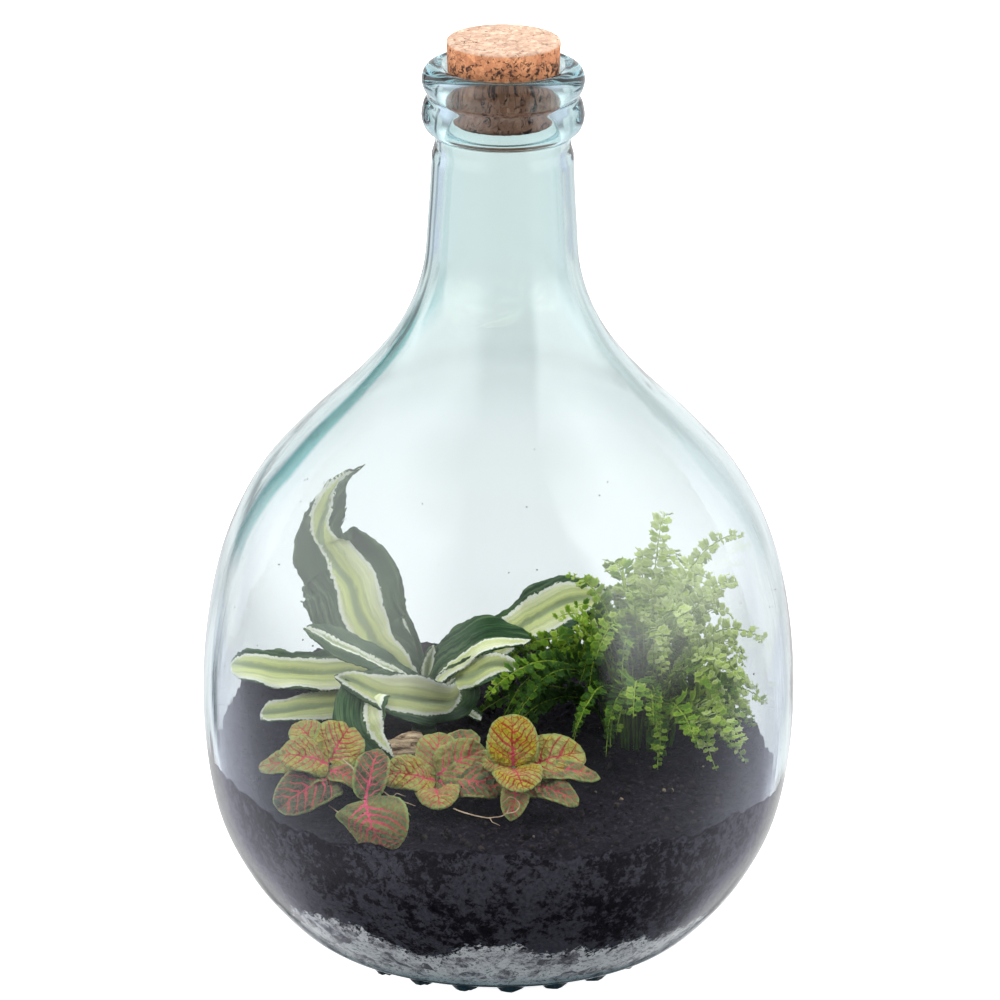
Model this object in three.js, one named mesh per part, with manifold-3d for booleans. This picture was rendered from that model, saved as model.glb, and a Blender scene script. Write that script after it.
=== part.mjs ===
// A planted bottle garden: a glass demijohn with a cork stopper, a drainage layer of stone chips,
// potting soil, a striped dracaena, a button fern, four creeping nerve-plant stems and a bark chip.
// Units are millimetres. +Z is up and the origin is on the surface the bottle stands on, at its axis.
import * as THREE from "three";
import { mergeVertices } from "three/addons/utils/BufferGeometryUtils.js";
import Module from "manifold-3d";

const wasm = await Module();
wasm.setup();

// Driving dimensions of the bottle
const SIDES = 30;
const BOTTLE_HEIGHT = 356;
const BODY_RADIUS = 115;
const BORE_RADIUS = 21.6;
const NECK_BORE_RADIUS = 22.4;
const BODY_WALL = 4.2;
const HEEL_WALL = 6.5;
const FLOOR_HEIGHT = 9;
const FLOOR_RADIUS = 52;
const FLOOR_CROWN = 1.2;
const KNOB_COUNT = 22;
const KNOB_RING_RADIUS = 62;
const KNOB_FIRST_ANGLE = THREE.MathUtils.degToRad(-85);
const KNOB_HEIGHT = 4;
const KNOB_ROOT_RADIUS = 4.6;
const KNOB_FOOT_RADIUS = 2.4;
const KNOB_STRETCH = 1.35;

// Driving dimensions of the cork
const CORK_TOP = 366;
const CORK_BOTTOM = 334;
const CORK_TOP_RADIUS = 22.1;
const CORK_BOTTOM_RADIUS = 20.5;
const CORK_CHAMFER = 0.8;

// Driving dimensions of the filling
const GRAVEL_HEIGHT = 30;
const SOIL_HEIGHT = 76;
const FILLING_RINGS = 7;
const WALL_GAP = 0.4;
const LAYER_GAP = 0.35;
const STEM_GAP = 0.35;

// Driving dimensions of the plants
const BLADE_THICKNESS = 0.7;
const GLASS_CLEARANCE = 1.6;
const SOIL_CLEARANCE = 1.8;
const STEM_DEPTH = 7;
const HOLE_RISE = 4;
const LEAF_FOLD = 0.16;
const NERVE_FOLD = 0.12;
const NERVE_BOW = 0.14;
const NERVE_STEM_RADIUS = 1.1;
const FROND_STALK_RADIUS = 1.25;
const PINNA_CUP = 0.2;

// Driving dimensions of the bark chip: its middle, its half sizes and its turn
const BARK = { x: -34, y: -6, rise: 3.2, half: [11, 6, 5], turn: 0.2 };

const COLOURS = {
  glass: { color: 0xd7efe9, roughness: 0.04, metalness: 0, transparent: true, opacity: 0.35 },
  cork: { color: 0xc68e63, roughness: 0.9, metalness: 0 },
  gravel: { color: 0xb4b8bb, roughness: 0.85, metalness: 0 },
  soil: { color: 0x2a2628, roughness: 0.97, metalness: 0 },
  bark: { color: 0xa98a66, roughness: 0.9, metalness: 0 },
  dracaena: { color: 0x6f9257, roughness: 0.45, metalness: 0 },
  fern: { color: 0x5b9a2c, roughness: 0.55, metalness: 0 },
  nerve: { color: 0xa8884a, roughness: 0.5, metalness: 0 },
};

const vec = (x, y, z) => new THREE.Vector3(x, y, z);

// Outer outline of the glass body, from the heel to the top of the neck, as radius and height
const BODY_OUTLINE = [
  [60, 2], [72.5, 5.6], [84, 14.5], [98, 31.5], [109.7, 56], [BODY_RADIUS, 90], [114.2, 126], [107.7, 160],
  [94.9, 188], [76.4, 210], [55.9, 230], [40.1, 250], [31, 272], [28.6, 296], [27.3, 321],
];
const BASE_OUTLINE = [[0, 5], [40, 3.8], [52, 2.6]];
// The two rings of the lip over a shallow groove, up to the top of the mouth
const LIP_OUTLINE = [
  [26.4, 324], [26.4, 328.6], [29.8, 331], [31.4, 335.8], [30.6, 341], [29.1, 344], [30.6, 346.8], [31.4, 350.5],
  [30.2, 354.2], [27, BOTTLE_HEIGHT], [23.6, 355.6],
];
const BORE_OUTLINE = [[BORE_RADIUS, 351], [BORE_RADIUS, 331], [NECK_BORE_RADIUS, 322]];

// Points along a smooth curve through the outline of the body
const OUTER_CURVE = new THREE.SplineCurve(BODY_OUTLINE.map(([r, z]) => new THREE.Vector2(r, z))).getPoints(19);

const wallAt = (z) => BODY_WALL + (HEEL_WALL - BODY_WALL) * Math.exp(-z / 14) + 0.7 * Math.max(0, (z - 230) / 90);

// The inside of the body: the outer curve moved inwards by the wall
const INNER_CURVE = OUTER_CURVE.map((p, i) => {
  const before = OUTER_CURVE[Math.max(0, i - 1)];
  const after = OUTER_CURVE[Math.min(OUTER_CURVE.length - 1, i + 1)];
  const along = after.clone().sub(before).normalize();
  return new THREE.Vector2(p.x - along.y * wallAt(p.y), p.y + along.x * wallAt(p.y));
}).filter((p) => p.y > FLOOR_HEIGHT + 0.4 && p.y < BODY_OUTLINE.at(-1)[1] - 2);

function innerRadius(z) {
  const last = INNER_CURVE.length - 1;
  if (z <= INNER_CURVE[0].y) return INNER_CURVE[0].x;
  for (let i = 0; i < last; i++) {
    const [a, b] = [INNER_CURVE[i], INNER_CURVE[i + 1]];
    if (z <= b.y) return a.x + ((b.x - a.x) * (z - a.y)) / (b.y - a.y);
  }
  return INNER_CURVE[last].x;
}

// A round mound or dip in a surface
const mound = (x, y, cx, cy, spread) => Math.exp(-((x - cx) ** 2 + (y - cy) ** 2) / spread ** 2);

// Heights of the two layers: the soil is heaped up at the back left and dips at the front left
const soilHeight = (x, y) =>
  SOIL_HEIGHT - 0.03 * x + 0.03 * y + 8 * mound(x, y, -100, 50, 45) - 5 * mound(x, y, -75, -85, 32) +
  1.2 * Math.sin(x / 19 + 1.1) * Math.cos(y / 23 - 0.4);
const gravelHeight = (x, y) =>
  GRAVEL_HEIGHT + 1.7 * Math.sin(x / 11 + 0.6) * Math.sin(y / 12 + 1.9) + 1.1 * Math.cos((x - y) / 14);

// A closed three.js geometry as a solid, with shared vertices merged and its faces turned outwards
function solidOf(geometry) {
  const plain = geometry.index ? geometry.toNonIndexed() : geometry.clone();
  for (const name of Object.keys(plain.attributes)) if (name !== "position") plain.deleteAttribute(name);
  const merged = mergeVertices(plain, 1e-4);
  const position = merged.attributes.position;
  const triangles = [];
  for (let i = 0; i < merged.index.count; i += 3) {
    const [a, b, c] = [0, 1, 2].map((k) => merged.index.getX(i + k));
    if (a !== b && b !== c && c !== a) triangles.push(a, b, c);
  }
  const make = (triVerts) =>
    new wasm.Manifold(new wasm.Mesh({ numProp: 3, vertProperties: new Float32Array(position.array), triVerts }));
  const solid = make(new Uint32Array(triangles));
  if (solid.volume() > 0) return solid;
  for (let i = 0; i < triangles.length; i += 3) {
    [triangles[i + 1], triangles[i + 2]] = [triangles[i + 2], triangles[i + 1]];
  }
  return make(new Uint32Array(triangles));
}

// A solid back as a three.js geometry
function geometryOf(solid) {
  const mesh = solid.getMesh();
  const positions = new Float32Array(mesh.numVert * 3);
  for (let i = 0; i < mesh.numVert; i++) {
    positions.set(mesh.vertProperties.subarray(i * mesh.numProp, i * mesh.numProp + 3), i * 3);
  }
  const geometry = new THREE.BufferGeometry();
  geometry.setAttribute("position", new THREE.BufferAttribute(positions, 3));
  geometry.setIndex(new THREE.BufferAttribute(mesh.triVerts, 1));
  geometry.computeVertexNormals();
  return geometry;
}

const joined = (solids) => solids.reduce((all, solid) => all.add(solid));

// The largest body of a solid: loose scraps left by a cut are dropped
const largestBody = (solid) => solid.decompose().sort((a, b) => b.volume() - a.volume())[0];

function revolved(outline) {
  const points = outline.map((p) => (p.isVector2 ? p : new THREE.Vector2(p[0], p[1])));
  return new THREE.LatheGeometry(points, SIDES).rotateX(Math.PI / 2);
}

// Corner directions shared by everything that is revolved, so that facets lie parallel
const cornerAngle = (k) => (k / SIDES) * Math.PI * 2 - Math.PI / 2;

function glassBottle() {
  const inner = [...INNER_CURVE].reverse();
  const floor = [[FLOOR_RADIUS, FLOOR_HEIGHT + 0.3], [0, FLOOR_HEIGHT + FLOOR_CROWN]];
  const outline = [...BASE_OUTLINE, ...OUTER_CURVE, ...LIP_OUTLINE, ...BORE_OUTLINE, ...inner, ...floor];
  const shell = solidOf(revolved(outline));
  const knobs = [];
  for (let k = 0; k < KNOB_COUNT; k++) {
    const angle = KNOB_FIRST_ANGLE + (k / KNOB_COUNT) * Math.PI * 2;
    const knob = new THREE.CylinderGeometry(KNOB_ROOT_RADIUS, KNOB_FOOT_RADIUS, KNOB_HEIGHT, 6).rotateX(Math.PI / 2);
    knob.scale(1, KNOB_STRETCH, 1);
    knob.rotateZ(angle);
    knob.translate(KNOB_RING_RADIUS * Math.cos(angle), KNOB_RING_RADIUS * Math.sin(angle), KNOB_HEIGHT / 2);
    knobs.push(solidOf(knob));
  }
  return joined([shell, ...knobs]);
}

function corkStopper() {
  const slope = (CORK_TOP_RADIUS - CORK_BOTTOM_RADIUS) / (CORK_TOP - CORK_BOTTOM);
  const radiusAt = (z) => CORK_BOTTOM_RADIUS + slope * (z - CORK_BOTTOM);
  return solidOf(
    revolved([
      [0, CORK_BOTTOM],
      [CORK_BOTTOM_RADIUS - CORK_CHAMFER, CORK_BOTTOM],
      [radiusAt(CORK_BOTTOM + CORK_CHAMFER), CORK_BOTTOM + CORK_CHAMFER],
      [radiusAt(CORK_TOP - CORK_CHAMFER), CORK_TOP - CORK_CHAMFER],
      [CORK_TOP_RADIUS - CORK_CHAMFER, CORK_TOP],
      [0, CORK_TOP],
    ]),
  );
}

// The radius at which a height field meets the inside of the glass
function rimOf(heightOf, angle) {
  let r = innerRadius(heightOf(0, 0));
  for (let i = 0; i < 12; i++) r = innerRadius(heightOf(r * Math.cos(angle), r * Math.sin(angle))) - WALL_GAP;
  return r;
}

// A layer that fills the bottle up to a height field. It lies on the height field below it, or on the glass.
function layer(topOf, belowOf, sideRings) {
  const floorTop = FLOOR_HEIGHT + FLOOR_CROWN + LAYER_GAP;
  const columns = [];
  for (let k = 0; k < SIDES; k++) {
    const angle = cornerAngle(k);
    const [cx, cy] = [Math.cos(angle), Math.sin(angle)];
    const on = (heightOf, r, gap) => vec(r * cx, r * cy, heightOf(r * cx, r * cy) + gap);
    const topRim = rimOf(topOf, angle);
    const bottomRim = belowOf ? rimOf(belowOf, angle) : FLOOR_RADIUS - 2;
    const bottom = belowOf ? on(belowOf, bottomRim, LAYER_GAP) : vec(bottomRim * cx, bottomRim * cy, floorTop);
    const column = [];
    for (let i = 1; i <= FILLING_RINGS; i++) column.push(on(topOf, (topRim * i) / FILLING_RINGS, 0));
    const highest = column[FILLING_RINGS - 1].z;
    for (let i = 1; i < sideRings; i++) {
      const z = highest + ((bottom.z - highest) * i) / sideRings;
      const r = innerRadius(z) - WALL_GAP;
      column.push(vec(r * cx, r * cy, z));
    }
    column.push(bottom);
    const floorRings = belowOf ? FILLING_RINGS : 1;
    for (let i = floorRings - 1; i >= 1; i--) column.push(on(belowOf, (bottomRim * i) / FILLING_RINGS, LAYER_GAP));
    columns.push(column);
  }
  const top = vec(0, 0, topOf(0, 0));
  const bottom = vec(0, 0, belowOf ? belowOf(0, 0) + LAYER_GAP : floorTop);
  const corners = [];
  columns.forEach((column, k) => {
    const next = columns[(k + 1) % SIDES];
    corners.push(top, column[0], next[0]);
    for (let i = 0; i + 1 < column.length; i++) {
      const [a, b, c, d] = [column[i], column[i + 1], next[i + 1], next[i]];
      // Below the rim the quads are split the other way, to lie parallel to the layer underneath
      if (i < FILLING_RINGS + sideRings - 1) corners.push(a, b, c, a, c, d);
      else corners.push(a, b, d, b, c, d);
    }
    corners.push(column[column.length - 1], bottom, next[next.length - 1]);
  });
  return solidOf(new THREE.BufferGeometry().setFromPoints(corners));
}

// A point bent clear of the glass and the soil
function keptClear(p) {
  const radius = Math.hypot(p.x, p.y);
  const most = innerRadius(p.z) - GLASS_CLEARANCE;
  const scale = radius > most ? most / radius : 1;
  const [x, y] = [p.x * scale, p.y * scale];
  return vec(x, y, Math.max(p.z, soilHeight(x, y) + SOIL_CLEARANCE));
}

// A sheet of triangles given a thickness, with the same triangles on both faces and walls at its rim
function thickened(points, triangles, thickness) {
  const normals = points.map(() => vec(0, 0, 0));
  const edges = new Map();
  for (const [a, b, c] of triangles) {
    const normal = points[b].clone().sub(points[a]).cross(points[c].clone().sub(points[a]));
    for (const i of [a, b, c]) normals[i].add(normal);
    for (const [i, j] of [[a, b], [b, c], [c, a]]) {
      if (edges.has(j + "," + i)) edges.delete(j + "," + i);
      else edges.set(i + "," + j, [i, j]);
    }
  }
  const half = thickness / 2;
  const upper = points.map((p, i) => p.clone().addScaledVector(normals[i].clone().normalize(), half));
  const lower = points.map((p, i) => p.clone().addScaledVector(normals[i].clone().normalize(), -half));
  const corners = [];
  for (const [a, b, c] of triangles) corners.push(upper[a], upper[b], upper[c], lower[a], lower[c], lower[b]);
  for (const [i, j] of edges.values()) corners.push(upper[i], lower[i], lower[j], upper[i], lower[j], upper[j]);
  return solidOf(new THREE.BufferGeometry().setFromPoints(corners));
}

// A smooth curve through the given points
const curveThrough = (points) => new THREE.CatmullRomCurve3(points.map((p) => vec(...p)), false, "catmullrom", 0.5);

// The crosswise and upward directions of a blade that faces a given way, rolled about its own length
function bladeFrame(curve, t, face, roll) {
  const point = curve.getPoint(t);
  const along = curve.getTangent(t);
  const side = along.clone().cross(vec(...face)).normalize();
  side.applyAxisAngle(along, THREE.MathUtils.degToRad(roll));
  const up = side.clone().cross(along).normalize();
  return { point, along, side, up };
}

// A leaf from its stations along the midrib, each a place, a width and a roll in degrees
function leafBlade({ stations, face, fold, rows, columns }) {
  const curve = curveThrough(stations.map(([x, y, z]) => [x, y, z]));
  const forms = curveThrough(stations.map(([, , , width, roll = 0]) => [width, roll, 0]));
  const points = [];
  const triangles = [];
  for (let i = 0; i < rows; i++) {
    const t = i / rows;
    const { x: width, y: roll } = forms.getPoint(t);
    const { point, side, up } = bladeFrame(curve, t, face, roll);
    for (let j = 0; j <= columns; j++) {
      const reach = (width / 2) * ((2 * j) / columns - 1);
      const p = point.clone().addScaledVector(side, reach).addScaledVector(up, fold * Math.abs(reach));
      points.push(i ? keptClear(p) : p);
    }
  }
  const tip = points.push(keptClear(curve.getPoint(1))) - 1;
  const index = (i, j) => i * (columns + 1) + j;
  for (let i = 0; i + 1 < rows; i++) {
    for (let j = 0; j < columns; j++) {
      const [a, b, c, d] = [index(i, j), index(i, j + 1), index(i + 1, j + 1), index(i + 1, j)];
      triangles.push([a, b, c], [a, c, d]);
    }
  }
  for (let j = 0; j < columns; j++) triangles.push([index(rows - 1, j), index(rows - 1, j + 1), tip]);
  return thickened(points, triangles, BLADE_THICKNESS);
}

// A thin stem along a curve
function stem(curve, radius, sides, steps) {
  const ring = new THREE.Shape();
  for (let k = 0; k < sides; k++) {
    const angle = (k / sides) * Math.PI * 2;
    ring[k ? "lineTo" : "moveTo"](radius * Math.cos(angle), radius * Math.sin(angle));
  }
  return solidOf(new THREE.ExtrudeGeometry(ring, { steps, extrudePath: curve, bevelEnabled: false }));
}

// The striped dracaena. Each station of a leaf is x, y, z, the width there and the roll.
const DRACAENA_STEM = { x: -29, y: 16, radius: 5, top: 101 };
const DRACAENA_LEAVES = [
  { face: [0.1, -1, 0.3], stations: [
    [-31, 17, 97, 12], [-46, 20, 119, 30], [-62, 25, 137, 45], [-69, 28, 150, 32], [-68, 30, 160, 19],
    [-65, 32, 170, 13, 20], [-60, 34, 181, 5, 30],
  ] },
  { face: [0, -0.6, 1], stations: [
    [-32, 15, 97, 12], [-54, 8, 105, 18], [-80, 3, 107, 20], [-105, 6, 110, 7],
  ] },
  { face: [0.1, -0.6, 0.9], stations: [
    [-32, 13, 99, 9], [-50, 6, 112, 13], [-63, 0, 120, 15], [-76, -4, 128, 5],
  ] },
  { face: [0, -0.6, 1], stations: [
    [-32, 13, 91, 9], [-56, 0, 96, 16], [-75, -8, 96, 17], [-91, -10, 95, 6],
  ] },
  { face: [-0.5, -0.4, 1], stations: [
    [-31, 12, 92, 10], [-48, -8, 104, 22], [-54, -28, 103, 24], [-50, -40, 95, 18], [-41, -46, 88, 5],
  ] },
  { face: [0, -0.8, 1], stations: [
    [-27, 12, 96, 10], [-14, -2, 102, 13, -20], [-20, -18, 103, 16, -60], [-40, -26, 108, 21], [-63, -22, 115, 6],
  ] },
  { face: [0, -0.5, 1], stations: [
    [-27, 15, 98, 12], [-17, 11, 112, 20], [-5, 10, 120, 20], [13, 11, 119, 7],
  ] },
  { face: [-0.2, -0.9, 0.8], stations: [
    [-25, 19, 96, 9], [-7, 28, 106, 16], [22, 33, 124, 24], [43, 31, 131, 7],
  ] },
  { face: [0, -1, 0.6], stations: [
    [-26, 13, 96, 8], [-14, 3, 106, 12], [-3, -2, 112, 12], [8, -4, 112, 4],
  ] },
  { face: [0.2, -0.4, 1], stations: [
    [-27, 11, 92, 8], [-17, 0, 96, 10], [-7, -10, 93, 4],
  ] },
  { face: [0, 0, 1], stations: [
    [-26, 20, 95, 11], [-14, 36, 105, 19], [0, 52, 107, 20], [12, 66, 101, 6],
  ] },
  { face: [0, 0, 1], stations: [
    [-33, 19, 95, 11], [-48, 38, 110, 22], [-60, 52, 118, 22], [-72, 64, 114, 7],
  ] },
  { face: [0, -1, 0.6], stations: [
    [-31, 20, 97, 9], [-41, 35, 112, 17], [-51, 44, 123, 17], [-61, 50, 130, 6],
  ] },
  { face: [0.2, -1, 0.2], stations: [
    [-28, 16, 97, 6], [-27, 17, 106, 8], [-25, 17, 114, 3],
  ] },
];
const WIDE_LEAF = 17;

function dracaena() {
  const { x, y, radius, top } = DRACAENA_STEM;
  const foot = soilHeight(x, y) - STEM_DEPTH;
  const trunk = new THREE.CylinderGeometry(radius * 0.75, radius, top - foot, 8).rotateX(Math.PI / 2);
  trunk.translate(x, y, (top + foot) / 2);
  const leaves = DRACAENA_LEAVES.map((leaf) => {
    const wide = leaf.stations.some(([, , , width]) => width > WIDE_LEAF);
    const rows = Math.round(1.5 * leaf.stations.length);
    return leafBlade({ ...leaf, fold: LEAF_FOLD, rows, columns: wide ? 4 : 2 });
  });
  return joined([solidOf(trunk), ...leaves]);
}

// The button fern. Each frond leaves the crown on one of three rings and arches over to its tip.
const FERN_CROWN = { x: 56, y: 22 };
const CROWN_RINGS = [4, 8.5, 12.5];
const FROND_BARE = 0.22;
const FROND_TURN = 40;
const RIB_WIDTH = 1.2;
const PINNA_PAIRS = 7;
const FRONDS = [
  { tip: [67, 50, 158], ring: 0, lift: 70, width: 16 },
  { tip: [97, 18, 160], ring: 0, lift: 70, width: 15 },
  { tip: [51, 3, 138], ring: 0, lift: 58, width: 15 },
  { tip: [27, 32, 138], ring: 0, lift: 50, width: 14 },
  { tip: [82, 66, 132], ring: 1, lift: 54, width: 16 },
  { tip: [96, 38, 134], ring: 1, lift: 50, width: 16 },
  { tip: [105, 8, 120], ring: 1, lift: 46, width: 16 },
  { tip: [108, -6, 94], ring: 2, lift: 26, width: 15 },
  { tip: [96, -34, 85], ring: 2, lift: 23, width: 15 },
  { tip: [76, -38, 86], ring: 2, lift: 24, width: 15 },
  { tip: [52, -34, 98], ring: 2, lift: 36, width: 15 },
  { tip: [28, -36, 96], ring: 2, lift: 34, width: 15 },
  { tip: [0, -18, 104], ring: 2, lift: 42, width: 15 },
  { tip: [-9, -1, 91], ring: 2, lift: 28, width: 15 },
  { tip: [4, 14, 108], ring: 1, lift: 44, width: 14 },
  { tip: [22, -1, 131], ring: 1, lift: 50, width: 15 },
  { tip: [74, -12, 130], ring: 1, lift: 60, width: 15 },
  { tip: [26, 72, 110], ring: 1, lift: 44, width: 16 },
  { tip: [56, 86, 108], ring: 2, lift: 40, width: 16 },
  { tip: [44, 64, 128], ring: 1, lift: 60, width: 16 },
  { tip: [88, 60, 96], ring: 2, lift: 30, width: 16 },
  { tip: [10, 50, 92], ring: 2, lift: 30, width: 15 },
  { tip: [38, -16, 120], ring: 1, lift: 56, width: 15 },
  { tip: [104, 30, 92], ring: 2, lift: 28, width: 15 },
  { tip: [97, -16, 110], ring: 1, lift: 44, width: 15 },
];

// The upright plane a frond arches in: its compass direction, its foot, and the curve of its rib
function frondPlan({ tip, ring, lift }) {
  const [dx, dy] = [tip[0] - FERN_CROWN.x, tip[1] - FERN_CROWN.y];
  const reach = Math.hypot(dx, dy);
  const heading = vec(dx / reach, dy / reach, 0);
  const at = (r, z) => vec(FERN_CROWN.x + heading.x * r, FERN_CROWN.y + heading.y * r, z);
  const start = CROWN_RINGS[ring];
  const foot = at(start, 0);
  const ground = soilHeight(foot.x, foot.y);
  const curve = new THREE.CubicBezierCurve3(
    at(start, ground - STEM_DEPTH),
    at(start, ground + lift * 0.75),
    at(start + (reach - start) * 0.5, ground + lift * 1.3),
    vec(...tip),
  );
  return { heading, foot, curve };
}

// The crosswise and upward directions of a frond, which turns its face a little to the front as it rises
function frondFrame({ heading, curve }, t, turn) {
  const point = curve.getPoint(t);
  const along = curve.getTangent(t);
  const roll = THREE.MathUtils.degToRad(heading.x * FROND_TURN + turn) * THREE.MathUtils.smoothstep(t, 0, 0.5);
  const side = vec(heading.y, -heading.x, 0).applyAxisAngle(along, roll);
  return { point, along, side, up: side.clone().cross(along) };
}

// Leaflets cut to the rib, two to each step of the rib, in one thin arched blade. The bare foot is its stalk.
function fernFrond({ width, turn = 0, ...row }) {
  const plan = frondPlan(row);
  const points = [];
  const triangles = [];
  const place = (p, t) => points.push(t < FROND_BARE ? p : keptClear(p)) - 1;
  const bare = [0, 0.4, 0.75].map((share) => share * FROND_BARE);
  const pitchTime = (0.97 - FROND_BARE) / PINNA_PAIRS;
  const leafy = Array.from({ length: PINNA_PAIRS + 1 }, (_, k) => FROND_BARE + k * pitchTime);
  let last = null;
  for (const t of [...bare, ...leafy]) {
    const frame = frondFrame(plan, t, turn);
    const rib = [-1, 1].map((s) => place(frame.point.clone().addScaledVector(frame.side, (s * RIB_WIDTH) / 2), t));
    if (last) triangles.push([last.rib[0], last.rib[1], rib[1]], [last.rib[0], rib[1], rib[0]]);
    if (t > leafy[0]) {
      const pitch = frame.point.distanceTo(last.frame.point);
      const share = (t - FROND_BARE) / (1 - FROND_BARE);
      const reach = (width / 2) * Math.pow(Math.sin(Math.PI * (0.02 + 0.93 * share)), 0.8);
      [-1, 1].forEach((s, i) => {
        const corner = (out, ahead) => {
          const p = last.frame.point.clone().addScaledVector(frame.side, s * reach * out);
          p.addScaledVector(frame.along, ahead * pitch).addScaledVector(frame.up, PINNA_CUP * reach * out);
          return place(p, t);
        };
        const [low, high] = [corner(0.88, 0.16), corner(1, 0.88)];
        const pinna = [[last.rib[i], low, high], [last.rib[i], high, rib[i]]];
        triangles.push(...(s > 0 ? pinna : pinna.map(([a, b, c]) => [a, c, b])));
      });
    }
    last = { rib, frame };
  }
  triangles.push([last.rib[0], last.rib[1], place(plan.curve.getPoint(1), 1)]);
  return thickened(points, triangles, BLADE_THICKNESS);
}

// The nerve plant: four short stems, each with rounded leaves given by base, tip, facing and width
const NERVE_STEMS = {
  left: {
    route: [[-67, -52, 82], [-65, -50, 90]],
    leaves: [
      { from: [-65, -50, 90], to: [-57, -36, 100], face: [0.2, -1, 0.7], width: 20 },
      { from: [-65, -51, 89], to: [-83, -57, 95], face: [0, -0.7, 1], width: 17 },
      { from: [-66, -50, 90], to: [-78, -37, 101], face: [0.1, -0.8, 0.8], width: 15 },
      { from: [-66, -51, 88], to: [-91, -48, 87], face: [0, -0.7, 1], width: 12 },
      { from: [-67, -52, 86], to: [-81, -64, 82], face: [0, -0.4, 1], width: 12 },
      { from: [-66, -52, 86], to: [-76, -76, 74], face: [-0.2, -0.6, 1], width: 20 },
      { from: [-66, -52, 87], to: [-52, -60, 84], face: [0, -0.5, 1], width: 10 },
    ],
  },
  front: {
    route: [[-50, -78, 82], [-50, -87, 87]],
    leaves: [
      { from: [-50, -87, 87], to: [-45, -106, 75], face: [0, -1, 0.3], width: 29 },
      { from: [-50, -85, 86], to: [-41, -64, 94], face: [0.1, -0.5, 1], width: 14 },
    ],
  },
  middle: {
    route: [[-24, -56, 80], [-23, -54, 86]],
    leaves: [
      { from: [-23, -54, 86], to: [-23, -39, 98], face: [0, -1, 0.7], width: 17 },
      { from: [-24, -55, 84], to: [-45, -62, 89], face: [0, -0.8, 1], width: 16 },
      { from: [-23, -54, 86], to: [-5, -45, 94], face: [0, -0.9, 0.8], width: 17 },
      { from: [-23, -55, 84], to: [2, -60, 82], face: [0, -0.6, 1], width: 18 },
      { from: [-24, -56, 82], to: [-22, -74, 80], face: [0, -0.6, 1], width: 17 },
      { from: [-23, -53, 86], to: [-9, -33, 96], face: [0, -0.6, 1], width: 14 },
    ],
  },
  right: {
    route: [[8, -58, 82], [6, -56, 91]],
    leaves: [
      { from: [6, -56, 91], to: [5, -43, 107], face: [0, -1, 0.45], width: 20 },
      { from: [6, -56, 90], to: [-6, -55, 92], face: [0, -0.8, 1], width: 8 },
      { from: [6, -56, 90], to: [16, -49, 94], face: [0, -0.8, 1], width: 8 },
      { from: [6, -57, 90], to: [10, -73, 87], face: [0, -0.5, 1], width: 19 },
      { from: [6, -56, 89], to: [33, -42, 97], face: [0, -0.9, 0.8], width: 20 },
      { from: [7, -57, 86], to: [40, -56, 82], face: [0.5, -0.6, 1], width: 13 },
      { from: [8, -58, 84], to: [31, -67, 80], face: [0, -0.5, 1], width: 13 },
      { from: [8, -58, 84], to: [5, -75, 76], face: [0, -0.6, 1], width: 11 },
    ],
  },
};
const OVAL = [[0, 0.08], [0.28, 0.86], [0.62, 0.98], [1, 0.22]];

function nerveStem({ route, leaves }) {
  const [[x, y]] = route;
  const blades = leaves.map(({ from, to, face, width }) => {
    const [a, b] = [vec(...from), vec(...to)];
    const bow = vec(...face).normalize().multiplyScalar(a.distanceTo(b) * NERVE_BOW);
    const stations = OVAL.map(([t, share]) => {
      const p = a.clone().lerp(b, t).addScaledVector(bow, Math.sin(Math.PI * t));
      return [...p.toArray(), width * share];
    });
    return leafBlade({ stations, face, fold: NERVE_FOLD, rows: 4, columns: 2 });
  });
  const path = curveThrough([[x, y, soilHeight(x, y) - STEM_DEPTH], ...route]);
  return joined([stem(path, NERVE_STEM_RADIUS, 6, 3), ...blades]);
}

// The bark chip lies on the soil: a rough lump with the soil's own surface cut from its underside
function barkChip(soil) {
  const lump = new THREE.IcosahedronGeometry(1, 1);
  const position = lump.attributes.position;
  for (let i = 0; i < position.count; i++) {
    const p = vec(position.getX(i), position.getY(i), position.getZ(i));
    p.multiplyScalar(1 + 0.13 * Math.sin(5 * p.x + 3 * p.y) + 0.09 * Math.cos(7 * p.z - 4 * p.x));
    position.setXYZ(i, p.x, p.y, p.z);
  }
  lump.scale(...BARK.half);
  lump.rotateZ(BARK.turn);
  lump.translate(BARK.x, BARK.y, soilHeight(BARK.x, BARK.y) + BARK.rise);
  return largestBody(solidOf(lump).subtract(soil.translate([0, 0, LAYER_GAP])));
}

// Soil with a plain hole for each stem that stands in it
function soilWithHoles(soil, stems) {
  const holes = stems.map(({ x, y, radius }) => {
    const depth = STEM_DEPTH + LAYER_GAP;
    const height = depth + HOLE_RISE;
    const sides = radius > 3 ? 12 : 6;
    const reach = (radius + STEM_GAP) / Math.cos(Math.PI / sides);
    const hole = new THREE.CylinderGeometry(reach, reach, height, sides).rotateX(Math.PI / 2);
    hole.translate(x, y, soilHeight(x, y) - depth + height / 2);
    return solidOf(hole);
  });
  return largestBody(soil.subtract(joined(holes)));
}

const root = new THREE.Group();
function addPart(name, solid, look) {
  const mesh = new THREE.Mesh(geometryOf(solid), new THREE.MeshStandardMaterial(COLOURS[look]));
  mesh.name = name;
  root.add(mesh);
}

const plainSoil = layer(soilHeight, gravelHeight, 5);
const frondFeet = FRONDS.map((row) => ({ ...frondPlan(row).foot, radius: FROND_STALK_RADIUS }));
const nerveHole = NERVE_STEM_RADIUS + 0.2;
const nerveFeet = Object.values(NERVE_STEMS).map(({ route: [[x, y]] }) => ({ x, y, radius: nerveHole }));
const soil = soilWithHoles(plainSoil, [DRACAENA_STEM, ...frondFeet, ...nerveFeet]);

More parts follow.
